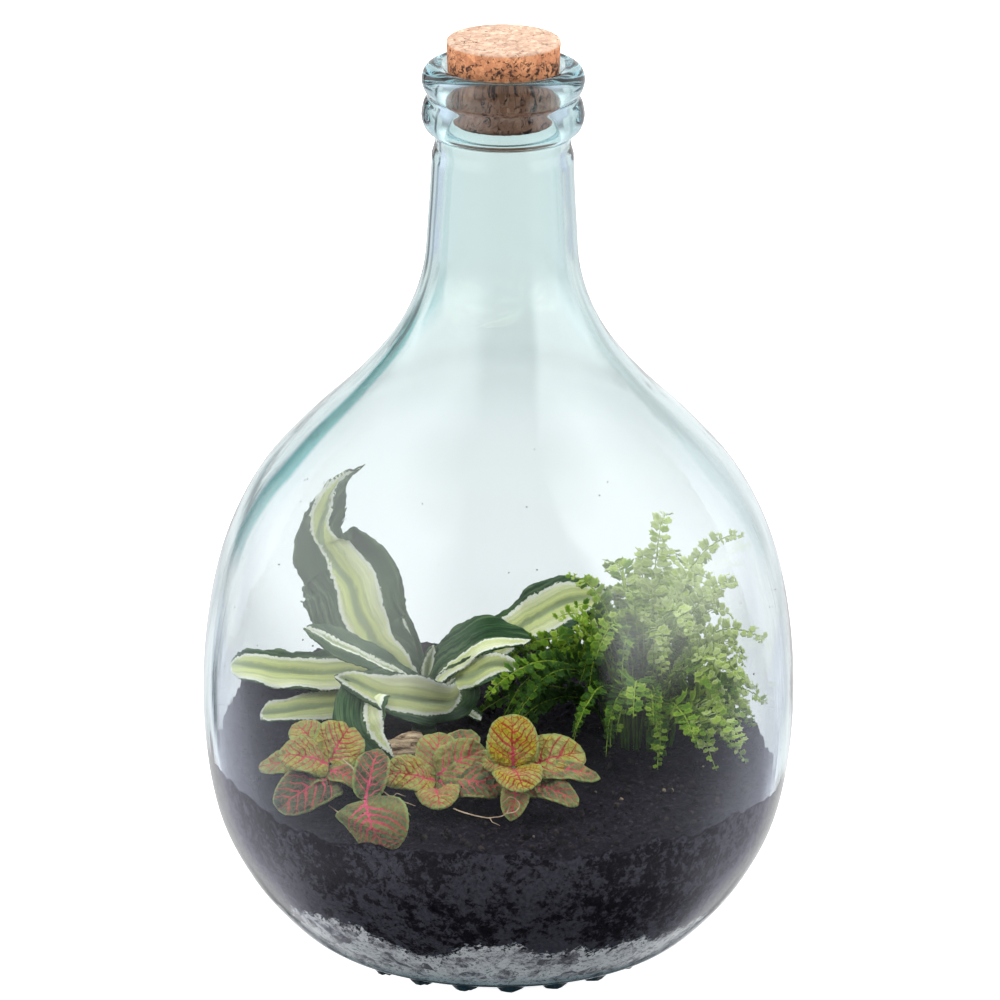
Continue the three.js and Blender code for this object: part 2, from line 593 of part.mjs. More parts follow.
addPart("glass_bottle", glassBottle(), "glass");
addPart("cork_stopper", corkStopper(), "cork");
addPart("drainage_gravel", layer(gravelHeight, null, 4), "gravel");
addPart("potting_soil", soil, "soil");
addPart("bark_chip", barkChip(plainSoil), "bark");
addPart("dracaena", dracaena(), "dracaena");
FRONDS.forEach((row, i) => addPart("fern_frond_" + String(i + 1).padStart(2, "0"), fernFrond(row), "fern"));
for (const [name, row] of Object.entries(NERVE_STEMS)) addPart("nerve_plant_" + name, nerveStem(row), "nerve");

export default root;
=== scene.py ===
"""The looks of a planted glass demijohn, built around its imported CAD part.

Shapes are worked out in millimetres, as in the part's own source, and become metres when a mesh is made."""

import functools
import math

import bmesh
import bpy
import numpy as np
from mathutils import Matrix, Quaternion, Vector, noise

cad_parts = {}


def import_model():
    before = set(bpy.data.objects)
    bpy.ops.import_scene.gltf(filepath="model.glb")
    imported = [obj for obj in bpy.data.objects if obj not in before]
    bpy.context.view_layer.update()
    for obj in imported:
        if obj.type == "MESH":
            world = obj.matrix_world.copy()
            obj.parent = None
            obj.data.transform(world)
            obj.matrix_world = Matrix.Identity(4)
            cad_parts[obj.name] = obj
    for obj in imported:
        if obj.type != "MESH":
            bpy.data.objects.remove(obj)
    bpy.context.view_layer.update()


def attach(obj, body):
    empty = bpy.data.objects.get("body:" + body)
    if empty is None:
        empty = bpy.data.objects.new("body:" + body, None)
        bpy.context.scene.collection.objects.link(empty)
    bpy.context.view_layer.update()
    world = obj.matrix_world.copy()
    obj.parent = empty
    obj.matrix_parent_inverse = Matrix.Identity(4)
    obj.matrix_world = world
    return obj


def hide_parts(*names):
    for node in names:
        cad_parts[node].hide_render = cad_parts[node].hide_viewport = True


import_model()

MM = 0.001
UP = np.array([0.0, 0.0, 1.0])


def placed(name, data):
    """A new object in the scene."""
    obj = bpy.data.objects.new(name, data)
    bpy.context.scene.collection.objects.link(obj)
    return obj


# Driving dimensions of the bottle, as in the part's source
BODY_OUTLINE = [
    (60, 2), (72.5, 5.6), (84, 14.5), (98, 31.5), (109.7, 56), (115, 90), (114.2, 126), (107.7, 160),
    (94.9, 188), (76.4, 210), (55.9, 230), (40.1, 250), (31, 272), (28.6, 296), (27.3, 321),
]
BASE_OUTLINE = [(0, 5), (40, 3.8), (52, 2.6)]
LIP_OUTLINE = [
    (26.4, 324), (26.4, 328.6), (29.8, 331), (31.4, 335.8), (30.6, 341), (29.1, 344), (30.6, 346.8),
    (31.4, 350.5), (30.2, 354.2), (27, 356), (23.6, 355.6),
]
BORE_OUTLINE = [(21.6, 351), (21.6, 331), (22.4, 322)]
FLOOR_OUTLINE = [(52, 9.3), (0, 10.2)]
BODY_WALL = 4.2
HEEL_WALL = 6.5
KNOB_COUNT = 22
KNOB_RING_RADIUS = 62
KNOB_FIRST_ANGLE = math.radians(-85)
KNOB_ROOT_RADIUS = 4.6
KNOB_FOOT_RADIUS = 2.4
KNOB_STRETCH = 1.35

# Driving dimensions of the cork
CORK_TOP = 366
CORK_BOTTOM = 334
CORK_TOP_RADIUS = 22.1
CORK_BOTTOM_RADIUS = 20.5

# Driving dimensions of the filling and the plants
GRAVEL_HEIGHT = 30
SOIL_HEIGHT = 76
GLASS_CONTACT = 0.25
GLASS_CLEARANCE = 1.6
SOIL_CLEARANCE = 1.8
STEM_DEPTH = 7


# Curves

def spline(points, t, extrapolated=True):
    """A uniform Catmull-Rom curve through the points, at times from 0 to 1."""
    p = np.asarray(points, float)
    ends = (2 * p[0] - p[1], 2 * p[-1] - p[-2]) if extrapolated else (p[0], p[-1])
    p = np.vstack([ends[0], p, ends[1]])
    s = np.clip(np.atleast_1d(t), 0, 1) * (len(p) - 3)
    k = np.minimum(s.astype(int), len(p) - 4)
    w = (s - k)[:, None]
    a, b, c, d = p[k], p[k + 1], p[k + 2], p[k + 3]
    return 0.5 * (2 * b + (c - a) * w + (2 * a - 5 * b + 4 * c - d) * w**2 + (3 * b - a - 3 * c + d) * w**3)


def bezier(points, t):
    """A cubic curve from the first point to the last, drawn towards the two between."""
    a, b, c, d = (np.asarray(p, float) for p in points)
    w = np.atleast_1d(t)[:, None]
    return a * (1 - w) ** 3 + 3 * b * w * (1 - w) ** 2 + 3 * c * w**2 * (1 - w) + d * w**3


def unit(v):
    return v / np.maximum(np.linalg.norm(v, axis=-1, keepdims=True), 1e-9)


def turned(v, axis, angle):
    """Vectors turned about unit axes by angles in radians."""
    c, s = np.cos(angle)[..., None], np.sin(angle)[..., None]
    return v * c + np.cross(axis, v) * s + axis * np.sum(axis * v, axis=-1, keepdims=True) * (1 - c)


def smoothstep(x, low, high):
    x = np.clip((x - low) / (high - low), 0, 1)
    return x * x * (3 - 2 * x)


def shifted(points, scale, seed):
    """The points over the scale, moved to the seed's own part of the noise."""
    shift = Vector((seed * 13.7, seed * 5.3, seed * 9.1))
    return [Vector(p) / scale + shift for p in points]


def noise_at(points, scale, seed):
    """Smooth noise between about -1 and 1 at each point."""
    return np.array([noise.noise(p) for p in shifted(points, scale, seed)])


def rough_at(points, scale, seed, octaves=4):
    """Fractal noise between about -1 and 1 at each point."""
    return np.array([noise.fractal(p, 0.9, 2.1, octaves) for p in shifted(points, scale, seed)])


def layered_at(points, *layers):
    """Layers of smooth noise, each with its amount, scale and seed, added up at each point."""
    return sum(amount * noise_at(points, scale, seed) for amount, scale, seed in layers)


def run_along(points):
    """Each point's distance from the first one along the route."""
    return np.append(0, np.cumsum(np.linalg.norm(np.diff(points, axis=0), axis=1)))


def tangent(curve, points, t):
    """The direction of a curve, spline or bezier, at times from 0 to 1."""
    step = 1e-3
    return unit(curve(points, np.minimum(t + step, 1)) - curve(points, np.maximum(t - step, 0)))


# The bottle's outline and the heights of its layers

def wall_at(z):
    """The wall's thickness: greatest at the heel, and growing again up the neck."""
    return BODY_WALL + (HEEL_WALL - BODY_WALL) * np.exp(-z / 14) + 0.7 * np.maximum(0, (z - 230) / 90)


def inside_of(outer):
    """The outer curve moved in by the wall, without its ends at the floor and the lip."""
    along = unit(np.gradient(outer, axis=0))
    inner = outer + np.stack([-along[:, 1], along[:, 0]], 1) * wall_at(outer[:, 1])[:, None]
    return inner[(inner[:, 1] > 9.6) & (inner[:, 1] < 319)]


OUTER_CURVE = spline(BODY_OUTLINE, np.linspace(0, 1, 96), extrapolated=False)
INNER_CURVE = inside_of(OUTER_CURVE)


def inner_radius(z):
    return np.interp(z, INNER_CURVE[:, 1], INNER_CURVE[:, 0])


def mound(x, y, cx, cy, spread):
    """A round heap of height 1."""
    return np.exp(-((x - cx) ** 2 + (y - cy) ** 2) / spread**2)


def fern_shadow_at(x, y):
    """1 in the middle of the painted shadow in the hollow in front of the fern's crown, 0 away from it."""
    return np.exp(-(((x - 12) / 33) ** 2 + ((y + 14) / 24) ** 2) ** 2)


def soil_height(x, y):
    heap = 8 * mound(x, y, -100, 50, 45) - 5 * mound(x, y, -75, -85, 32)
    return SOIL_HEIGHT - 0.03 * x + 0.03 * y + heap + 1.2 * np.sin(x / 19 + 1.1) * np.cos(y / 23 - 0.4)


def gravel_height(x, y):
    return GRAVEL_HEIGHT + 1.7 * np.sin(x / 11 + 0.6) * np.sin(y / 12 + 1.9) + 1.1 * np.cos((x - y) / 14)


def kept_clear(p, glass=GLASS_CLEARANCE, soil=SOIL_CLEARANCE):
    """Points bent clear of the glass and the soil."""
    p = np.array(p, float)
    radius = np.hypot(p[..., 0], p[..., 1])
    most = inner_radius(p[..., 2]) - glass
    scale = np.where(radius > most, most / np.maximum(radius, 1e-6), 1)
    p[..., 0] *= scale
    p[..., 1] *= scale
    p[..., 2] = np.maximum(p[..., 2], soil_height(p[..., 0], p[..., 1]) + soil)
    return p


# Meshes

class Shape:
    """Points in millimetres, faces, and a value for each point under each name."""

    def __init__(self):
        self.points, self.faces, self.values, self.count = [], [], {}, 0

    def add(self, points, faces, **values):
        """Adds points and their faces. A value not given is 0."""
        points = np.asarray(points, float).reshape(-1, 3)
        n = len(points)
        for name in set(self.values) | set(values):
            known = self.values.setdefault(name, [np.zeros(self.count)])
            known.append(np.broadcast_to(np.asarray(values.get(name, 0.0), float).ravel(), (n,)))
        self.points.append(points)
        self.faces.extend([tuple(int(i) + self.count for i in f) for f in faces])
        self.count += n

    def piece(self, name, material, replaced=(), smooth=True):
        """Makes the mesh object, in metres, on the one body of this part."""
        mesh = bpy.data.meshes.new(name)
        mesh.from_pydata((np.concatenate(self.points) * MM).tolist(), [], self.faces)
        for key, parts in self.values.items():
            layer = mesh.attributes.new(key, "FLOAT", "POINT")
            layer.data.foreach_set("value", np.concatenate(parts).astype(np.float32))
        mesh.polygons.foreach_set("use_smooth", [smooth] * len(mesh.polygons))
        mesh.materials.append(material)
        mesh.update()
        obj = placed(name, mesh)
        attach(obj, "root")
        if replaced:
            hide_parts(*replaced)
        return obj


def grid_faces(rows, columns, closed=False):
    """The quads of a grid of points, row by row. A closed grid joins its last column to its first."""
    i, j = np.meshgrid(np.arange(rows - 1), np.arange(columns if closed else columns - 1), indexing="ij")
    k = (j + 1) % columns
    corners = [i * columns + j, i * columns + k, (i + 1) * columns + k, (i + 1) * columns + j]
    return np.stack(corners, -1).reshape(-1, 4)


def capped(p, first, last):
    """Points and faces of rings, with a fan to a middle point at either end."""
    rows, columns = p.shape[:2]
    n = rows * columns
    j = np.arange(columns)
    k = np.roll(j, -1)
    faces = grid_faces(rows, columns, closed=True).tolist()
    faces += np.stack([0 * j + n, k, j], 1).tolist()
    faces += np.stack([n - columns + j, n - columns + k, 0 * j + n + 1], 1).tolist()
    return np.vstack([p.reshape(-1, 3), first, last]), faces


def thick_sheet(shape, p, thickness, **values):
    """Adds a grid of points as a closed sheet with two faces and a rim."""
    rows, columns = p.shape[:2]
    half = unit(np.cross(np.gradient(p, axis=1), np.gradient(p, axis=0))) * (thickness / 2)
    n = rows * columns
    top = grid_faces(rows, columns)
    index = np.arange(n).reshape(rows, columns)
    rim = np.concatenate([index[0], index[1:, -1], index[-1, -2::-1], index[-2:0:-1, 0]])
    after = np.roll(rim, -1)
    faces = [*top[:, ::-1].tolist(), *(top + n).tolist()]
    faces += np.stack([rim, after, after + n, rim + n], 1).tolist()
    both = {k: np.tile(np.broadcast_to(v, (rows, columns)).ravel(), 2) for k, v in values.items()}
    shape.add(np.stack([p + half, p - half]), faces, **both)


def tube(shape, route, radius, sides=8, **values):
    """Adds a round rod along a route of points. The radius may differ at each point."""
    route = np.asarray(route, float)
    along = unit(np.gradient(route, axis=0))
    side = unit(np.cross(along, np.where(np.abs(along[:, 2:]) > 0.9, [1.0, 0, 0], UP)))
    for i in range(1, len(side)):
        side[i] = unit(side[i - 1] - along[i] * np.dot(side[i - 1], along[i]))
    up = np.cross(side, along)
    angle = np.arange(sides) / sides * 2 * np.pi
    r = np.broadcast_to(radius, len(route))[:, None, None]
    ring = np.cos(angle)[None, :, None] * side[:, None] + np.sin(angle)[None, :, None] * up[:, None]
    points = route[:, None] + ring * r
    n = len(route) * sides
    faces = grid_faces(len(route), sides, closed=True).tolist()
    faces += [list(range(sides))[::-1], list(range(n - sides, n))]
    per_point = {k: np.repeat(np.broadcast_to(v, len(route)), sides) for k, v in values.items()}
    shape.add(points, faces, **per_point)


def revolved(profile, segments, moved=None):
    """Points and faces of an outline turned about the axis. The outline starts and ends on the axis."""
    profile = np.asarray(profile, float)
    angle = np.arange(segments) / segments * 2 * np.pi
    r, z = profile[1:-1, 0][:, None], profile[1:-1, 1][:, None]
    p = np.stack([r * np.cos(angle), r * np.sin(angle), z + 0 * angle], -1)
    if moved:
        p = moved(p)
    return capped(p, [0, 0, profile[0, 1]], [0, 0, profile[-1, 1]])


def ball(detail):
    """The points and triangles of a round ball of radius 1."""
    made = bmesh.new()
    bmesh.ops.create_icosphere(made, subdivisions=detail, radius=1)
    points = np.array([v.co[:] for v in made.verts])
    faces = [tuple(v.index for v in f.verts) for f in made.faces]
    made.free()
    return points, faces


# Materials


class Nodes:
    """Short calls for the nodes of one tree, which starts empty."""

    def __init__(self, tree):
        tree.nodes.clear()
        self.tree = tree
        self.place = None

    def put(self, socket, value):
        """Links another node's output to the socket, or sets the socket's own value."""
        if hasattr(value, "is_output"):
            self.tree.links.new(value, socket)
            return
        if isinstance(value, tuple) and len(value) < len(socket.default_value):
            value = (*value, 1)
        socket.default_value = value

    def add(self, kind, inputs=(), output=0, **settings):
        """Adds a node, fills its inputs by name or number, and gives one of its outputs."""
        node = self.tree.nodes.new("ShaderNode" + kind)
        for key, value in settings.items():
            setattr(node, key, value)
        for key, value in dict(inputs).items():
            self.put(node.inputs[key], value)
        return node.outputs[output]

    def coordinates(self, stretch=None):
        """The point in metres, or stretched along the axes."""
        if self.place is None:
            self.place = self.add("TexCoord", output="Object")
        if stretch is None:
            return self.place
        return self.add("Mapping", {"Scale": stretch, "Vector": self.place})

    def axes(self, place):
        return self.add("SeparateXYZ", {0: place}).node.outputs

    def vector(self, *values):
        return self.add("CombineXYZ", enumerate(values))

    def attribute(self, name):
        return self.add("Attribute", output="Fac", attribute_name=name)

    def math(self, operation, *values):
        return self.add("Math", enumerate(values), operation=operation)

    def plus(self, *values):
        return functools.reduce(lambda a, b: self.math("ADD", a, b), values)

    def minus(self, a, b):
        return self.math("SUBTRACT", a, b)

    def times(self, *values):
        return functools.reduce(lambda a, b: self.math("MULTIPLY", a, b), values)

    def noise(self, scale, detail=3, rough=0.55, distortion=0.0, place=None):
        """Noise whose features are about 1/scale across, at the point or another place."""
        inputs = {"Scale": scale, "Detail": detail, "Roughness": rough, "Distortion": distortion}
        inputs["Vector"] = self.coordinates() if place is None else place
        return self.add("TexNoise", inputs, "Fac")

    def cells(self, scale, output="Distance", place=None, **settings):
        """Cells about 1/scale across, at the point or another place."""
        place = self.coordinates() if place is None else place
        return self.add("TexVoronoi", {"Scale": scale, "Vector": place}, output, **settings)

    def ramp(self, value, stops):
        """Colours or greys at places from 0 to 1."""
        result = self.add("ValToRGB", {0: value})
        elements = result.node.color_ramp.elements
        while len(elements) < len(stops):
            elements.new(0.5)
        for element, (place, colour) in zip(elements, stops):
            element.position = place
            element.color = (colour, colour, colour, 1) if np.isscalar(colour) else (*colour, 1)
        return result

    def between(self, value, low, high):
        """The value's place between two limits, from 0 to 1."""
        return self.add("MapRange", {"From Min": low, "From Max": high, "Value": value})

    def mix(self, share, a, b, blend="MIX"):
        """Two colours mixed, with this share of the second."""
        inputs = {"Factor": share, "A": a, "B": b}
        return self.add("Mix", inputs, "Result", data_type="RGBA", blend_type=blend)

    def tinted(self, a, b):
        """One colour multiplied by another."""
        return self.mix(1.0, a, b, "MULTIPLY")

    def bump(self, height, strength, distance):
        return self.add("Bump", {"Strength": strength, "Distance": distance, "Height": height})


class Finish(Nodes):
    """The nodes of one surface."""

    def __init__(self, name):
        self.material = bpy.data.materials.new(name)
        self.material.use_nodes = True
        super().__init__(self.material.node_tree)
        self.out = self.tree.nodes.new("ShaderNodeOutputMaterial")
        self.shader = self.tree.nodes.new("ShaderNodeBsdfPrincipled")
        self.put(self.out.inputs["Surface"], self.shader.outputs[0])

    def let_through(self, colour, share):
        """Lets a share of the light through a leaf, in this colour."""
        through = self.add("BsdfTranslucent", {"Color": colour})
        both = self.add("MixShader", {0: share, 1: self.shader.outputs[0], 2: through})
        self.put(self.out.inputs["Surface"], both)

    def done(self, inputs):
        """Fills the shader's inputs, by name, and gives the material."""
        for name, value in inputs.items():
            self.put(self.shader.inputs[name], value)
        return self.material


# The tints of the upper glass and of the stripe on its left shoulder (partly the thick glass's own tint,
# partly a painted dark band), the heel's painted shade and the neck's painted dark line
UPPER_TINT = (0.895, 0.955, 0.938)
EDGE_TEAL = (0.10, 0.40, 0.40)
PAINTED_HEEL_SHADE = (0.03, 0.09, 0.10)
PAINTED_NECK_LINE = (0.02, 0.05, 0.06)
# How far the glass turns away where its teal stripe lies, and how much the stripe's place moves with height,
# from the shoulder's foot to the neck
EDGE_MIDDLE = 0.633
EDGE_START = 0.045
EDGE_SHIFT = [(0.1, 0.0), (0.3, 0.080), (0.5, 0.076), (0.67, 0.095), (0.8, 0.095)]
# Heights in metres of the shoulder's foot and the neck, of the neck's painted dark line and of the heel's
# painted shade
SHOULDER_TO_NECK = (0.160, 0.290)
PAINTED_LINE_TOP = (0.330, 0.322)
HEEL_TOP = (0.0090, 0.0072)
# Where the left half passes into the right one, and where the stripe grows from the back to the front
LEFT_TO_RIGHT = (-0.01, 0.01)
BACK_TO_FRONT = (0.03, 0.012)
# Squared distances from the axis, between the neck's inner and outer wall
NECK_WALLS = (0.00064, 0.00068)


def glass_material():
    """Clear glass with a green body tint. The thick glass of the shoulder and neck is greener where it is
    seen nearly edge on, with a painted dark teal band on the front of the left shoulder most of all. A
    painted dark line runs down the left of the neck's outer wall where it is seen nearly edge on, and the
    base and its knobs are painted nearly black as shade."""
    n = Finish("clear_glass")
    x, y, z = n.axes(n.coordinates())
    high = n.between(z, *SHOULDER_TO_NECK)
    right = n.between(x, *LEFT_TO_RIGHT)
    facing = n.add("LayerWeight", output="Facing")
    turned_away = n.minus(n.plus(facing, n.ramp(high, EDGE_SHIFT)), EDGE_START + EDGE_MIDDLE)
    turned_away = n.times(turned_away, n.ramp(high, [(0.55, 1.0), (0.68, 0.6)]))
    edge = n.ramp(n.plus(turned_away, EDGE_MIDDLE), [
        (0.48, (1, 1, 1)), (0.57, (0.88, 0.96, 0.96)), (0.594, EDGE_TEAL), (0.672, EDGE_TEAL),
        (0.70, (0.86, 0.95, 0.95)),
    ])
    # The stripe is painted strongest on the front of the left shoulder: a painted dark band over the glass's
    # own edge tint
    edge_share = n.ramp(high, [(0.0, 0.1), (0.08, 0.8), (0.3, 1.0), (0.74, 1.0), (0.86, 0.25)])
    edge_share = n.times(edge_share, n.ramp(right, [(0, 1.0), (1, 0.35)]), n.between(y, *BACK_TO_FRONT))
    plain = n.mix(high, (1.0, 1.0, 1.0), UPPER_TINT)
    tint = n.mix(edge_share, plain, n.tinted(plain, edge))
    # A painted dark line, painted shade, down the left of the neck's outer wall where it is seen nearly edge
    # on
    painted_line = n.times(
        n.ramp(facing, [(0.67, 0.0), (0.70, 1.0), (0.77, 1.0), (0.80, 0.0)]),
        n.ramp(high, [(0.82, 0.0), (0.90, 0.95)]), n.minus(1.0, right), n.between(z, *PAINTED_LINE_TOP),
        n.between(n.plus(n.times(x, x), n.times(y, y)), *NECK_WALLS),
    )
    tint = n.mix(painted_line, tint, PAINTED_NECK_LINE)
    # The heel and its knobs are painted nearly black, as the shade under the bottle
    tint = n.mix(n.between(z, *HEEL_TOP), tint, PAINTED_HEEL_SHADE)
    body = n.add("VolumeAbsorption", {"Color": (0.0, 0.42, 0.52), "Density": 21})
    n.put(n.out.inputs["Volume"], body)
    waves = n.noise(75, 3, 0.5, 0.3, n.coordinates((1.0, 1.0, 0.12)))
    return n.done({
        "Base Color": tint, "Roughness": 0, "IOR": 1.5, "Transmission Weight": 1,
        "Normal": n.bump(waves, 0.12, 0.0006),
    })


def cork_material():
    """top is 1 on the cork's upper face, and pit is 1 in its pits."""
    n = Finish("pressed_cork")
    z, top = n.axes(n.coordinates())[2], n.attribute("top")
    colour = n.ramp(n.cells(560, "Color"), [
        (0.0, (0.28, 0.135, 0.078)), (0.5, (0.37, 0.195, 0.118)), (1.0, (0.46, 0.27, 0.17)),
    ])
    colour = n.tinted(colour, n.ramp(n.noise(190, 3, 0.6), [(0.3, 0.84), (0.7, 1.14)]))
    seams = n.ramp(n.cells(300, feature="DISTANCE_TO_EDGE"), [(0.0, 1.0), (0.07, 0.0)])
    seams = n.times(seams, n.ramp(n.noise(260, 2), [(0.48, 0.0), (0.60, 1.0)]), 0.75)
    colour = n.mix(seams, colour, (0.10, 0.045, 0.025))
    # The upper face is painted paler and bluer, and the side darker and warmer, as painted light from above
    colour = n.tinted(colour, n.mix(top, (1.06, 0.84, 0.64), (1.14, 1.46, 1.75)))
    low = n.ramp(n.between(z, 0.345, 0.366), [(0.15, 0.2), (0.35, 1.0), (0.6, 0.8), (1.0, 0.0)])
    flecks = n.plus(n.noise(430, 6, 0.75, 0.9), n.times(low, 0.085), n.times(top, -0.04))
    flecks = n.plus(flecks, n.times(n.noise(120, 2), 0.28))
    colour = n.mix(n.ramp(flecks, [(0.71, 0.0), (0.745, 1.0)]), colour, (0.035, 0.015, 0.010))
    # The part inside the neck is painted bluer, a painted reflection of the neck's glass over it
    in_the_neck = n.between(z, 0.353, 0.348)
    colour = n.mix(in_the_neck, colour, n.tinted(colour, (0.92, 1.10, 1.65)))
    colour = n.mix(n.attribute("pit"), colour, (0.07, 0.03, 0.018))
    colour = n.tinted(colour, n.ramp(n.noise(1500, 3), [(0.3, 0.82), (0.7, 1.1)]))
    return n.done({"Base Color": colour, "Roughness": 0.88, "Normal": n.bump(n.noise(900, 4), 0.5, 0.0004)})


def gravel_material():
    """depth is the distance below the line where the soil begins, in millimetres."""
    n = Finish("crushed_stone")
    stone = n.plus(n.times(n.cells(190, "Color"), 0.34), n.times(n.noise(260, 6, 0.68, 0.5), 0.9))
    colour = n.ramp(stone, [
        (0.46, (0.20, 0.18, 0.21)), (0.58, (0.80, 0.76, 0.80)), (0.68, (1.0, 0.97, 0.99)),
    ])
    specks = n.ramp(n.noise(520, 6, 0.75), [(0.54, 0.0), (0.58, 1.0)])
    colour = n.mix(n.times(specks, 0.75), colour, (0.08, 0.07, 0.09))
    fallen = n.minus(n.noise(430, 6, 0.75), n.times(n.attribute("depth"), 0.030))
    colour = n.mix(n.ramp(fallen, [(0.48, 0.0), (0.50, 1.0)]), colour, (0.012, 0.010, 0.014))
    return n.done({"Base Color": colour, "Roughness": 0.75, "Normal": n.bump(n.noise(1300, 4), 0.4, 0.0003)})


def soil_material():
    """above is the distance over the line where the gravel ends, in millimetres. side is 1 at the glass, and
    damp is 1 in the hollow in front of the fern's crown, which is painted nearly black as shade."""
    n = Finish("potting_soil")
    side = n.attribute("side")
    colour = n.ramp(n.noise(520, 6, 0.72), [
        (0.36, (0.0025, 0.002, 0.0035)), (0.56, (0.013, 0.010, 0.016)), (0.68, (0.060, 0.052, 0.064)),
    ])
    film = n.plus(n.noise(250, 9, 0.80, 0.3), n.times(n.noise(30, 3, 0.5), 0.38))
    film = n.times(n.ramp(film, [(0.677, 0.0), (0.692, 1.0)]), side, 0.9)
    grey = n.ramp(n.noise(700, 4, 0.6), [(0.3, (0.050, 0.045, 0.063)), (0.7, (0.125, 0.118, 0.150))])
    colour = n.mix(film, colour, grey)
    fleck = n.ramp(n.cells(420), [(0.0, 1.0), (0.09, 0.0)])
    fleck = n.times(fleck, n.ramp(n.noise(60, 2), [(0.56, 0.0), (0.66, 1.0)]))
    colour = n.mix(fleck, colour, (0.30, 0.27, 0.27))
    stray = n.minus(n.noise(430, 6, 0.75), n.times(n.attribute("above"), 0.07))
    stray = n.times(n.ramp(stray, [(0.50, 0.0), (0.53, 1.0)]), side)
    colour = n.mix(stray, colour, (0.42, 0.45, 0.50))
    # The hollow in front of the fern's crown is painted nearly black, as the fern's shadow
    colour = n.mix(n.attribute("damp"), colour, (0.0015, 0.0015, 0.0015))
    return n.done({
        "Base Color": colour, "Roughness": 0.95, "Specular IOR Level": 0.25,
        "Normal": n.bump(n.noise(700, 5, 0.7), 0.7, 0.001),
    })


def crumb_material():
    """tone runs from 0 for the darkest crumbs to 1 for the palest."""
    n = Finish("soil_crumbs")
    colour = n.ramp(n.attribute("tone"), [
        (0.0, (0.002, 0.002, 0.002)), (0.7, (0.030, 0.025, 0.025)), (0.9, (0.075, 0.055, 0.045)),
        (1.0, (0.32, 0.25, 0.18)),
    ])
    return n.done({"Base Color": colour, "Roughness": 0.95, "Specular IOR Level": 0.25})


def bark_material():
    n = Finish("dry_bark")
    fibre = n.noise(420, 6, 0.7, 0.4, n.coordinates((0.18, 1.0, 1.0)))
    colour = n.ramp(fibre, [
        (0.38, (0.05, 0.03, 0.02)), (0.45, (0.44, 0.30, 0.18)), (0.62, (0.92, 0.72, 0.50)),
    ])
    return n.done({"Base Color": colour, "Roughness": 0.9, "Normal": n.bump(fibre, 0.8, 0.0008)})


def root_material():
    n = Finish("dry_root")
    colour = n.ramp(n.noise(500, 3), [(0.3, (0.40, 0.27, 0.17)), (0.7, (0.72, 0.56, 0.40))])
    return n.done({"Base Color": colour, "Roughness": 0.7})


def dracaena_material():
    """Dark green margins, a thin white line along each, and a lime middle with grey-green stripes.
    left and right are the distances in from the two dark margins, mid the distance from the midrib and run
    the place along the leaf, in millimetres. shade is 1 on a well lit leaf and less on another."""
    n = Finish("striped_leaf")
    mid, run = n.attribute("mid"), n.attribute("run")
    fine = n.noise(0.9, 5, 0.7, place=n.vector(mid, run, 0.0))
    coarse = n.noise(0.35, 2, 0.5, place=n.vector(mid, run, 7.0))
    lines = n.noise(0.8, 4, 0.65, place=n.vector(mid, n.times(run, 0.05), 0.0))
    jag = n.plus(n.times(n.minus(fine, 0.5), 3.4), n.minus(coarse, 0.5))
    band = n.plus(n.math("MINIMUM", n.attribute("left"), n.attribute("right")), jag)
    dark = n.ramp(lines, [
        (0.35, (0.010, 0.035, 0.012)), (0.50, (0.030, 0.080, 0.028)), (0.64, (0.11, 0.18, 0.08)),
    ])
    colour = n.ramp(n.between(n.plus(n.math("ABSOLUTE", mid), n.times(jag, 0.6)), 0, 9), [
        (0.0, (0.42, 0.49, 0.27)), (0.10, (0.44, 0.52, 0.28)), (0.20, (0.69, 0.76, 0.33)),
        (0.40, (0.76, 0.81, 0.38)), (0.47, (0.62, 0.69, 0.34)), (0.55, (0.82, 0.86, 0.50)),
        (1.0, (0.87, 0.89, 0.62)),
    ])
    colour = n.tinted(colour, n.ramp(lines, [(0.3, 0.80), (0.65, 1.05)]))
    edge = n.ramp(n.between(band, -0.6, 4.0), [(0.13, 0.0), (0.16, 1.0), (0.30, 1.0), (0.48, 0.0)])
    colour = n.mix(edge, colour, (0.88, 0.90, 0.80))
    is_pale = n.ramp(n.between(band, -1.0, 1.0), [(0.49, 0.0), (0.53, 1.0)])
    colour = n.tinted(n.mix(is_pale, dark, colour), n.attribute("shade"))
    n.let_through(colour, 0.22)
    return n.done({"Base Color": colour, "Roughness": 0.38, "Normal": n.bump(lines, 0.35, 0.0006)})


def fern_material():
    """tone runs from 0 for the darkest leaflets to 1 for the palest."""
    n = Finish("fern_leaf")
    tone = n.plus(n.times(n.attribute("tone"), 0.8), n.times(n.noise(300, 4), 0.25))
    colour = n.ramp(tone, [
        (0.0, (0.006, 0.022, 0.004)), (0.3, (0.035, 0.105, 0.008)), (0.6, (0.19, 0.34, 0.016)),
        (0.8, (0.42, 0.55, 0.08)), (1.0, (0.70, 0.77, 0.46)),
    ])
    n.let_through(n.mix(0.5, colour, (0.32, 0.55, 0.01)), 0.33)
    return n.done({"Base Color": colour, "Roughness": 0.5})


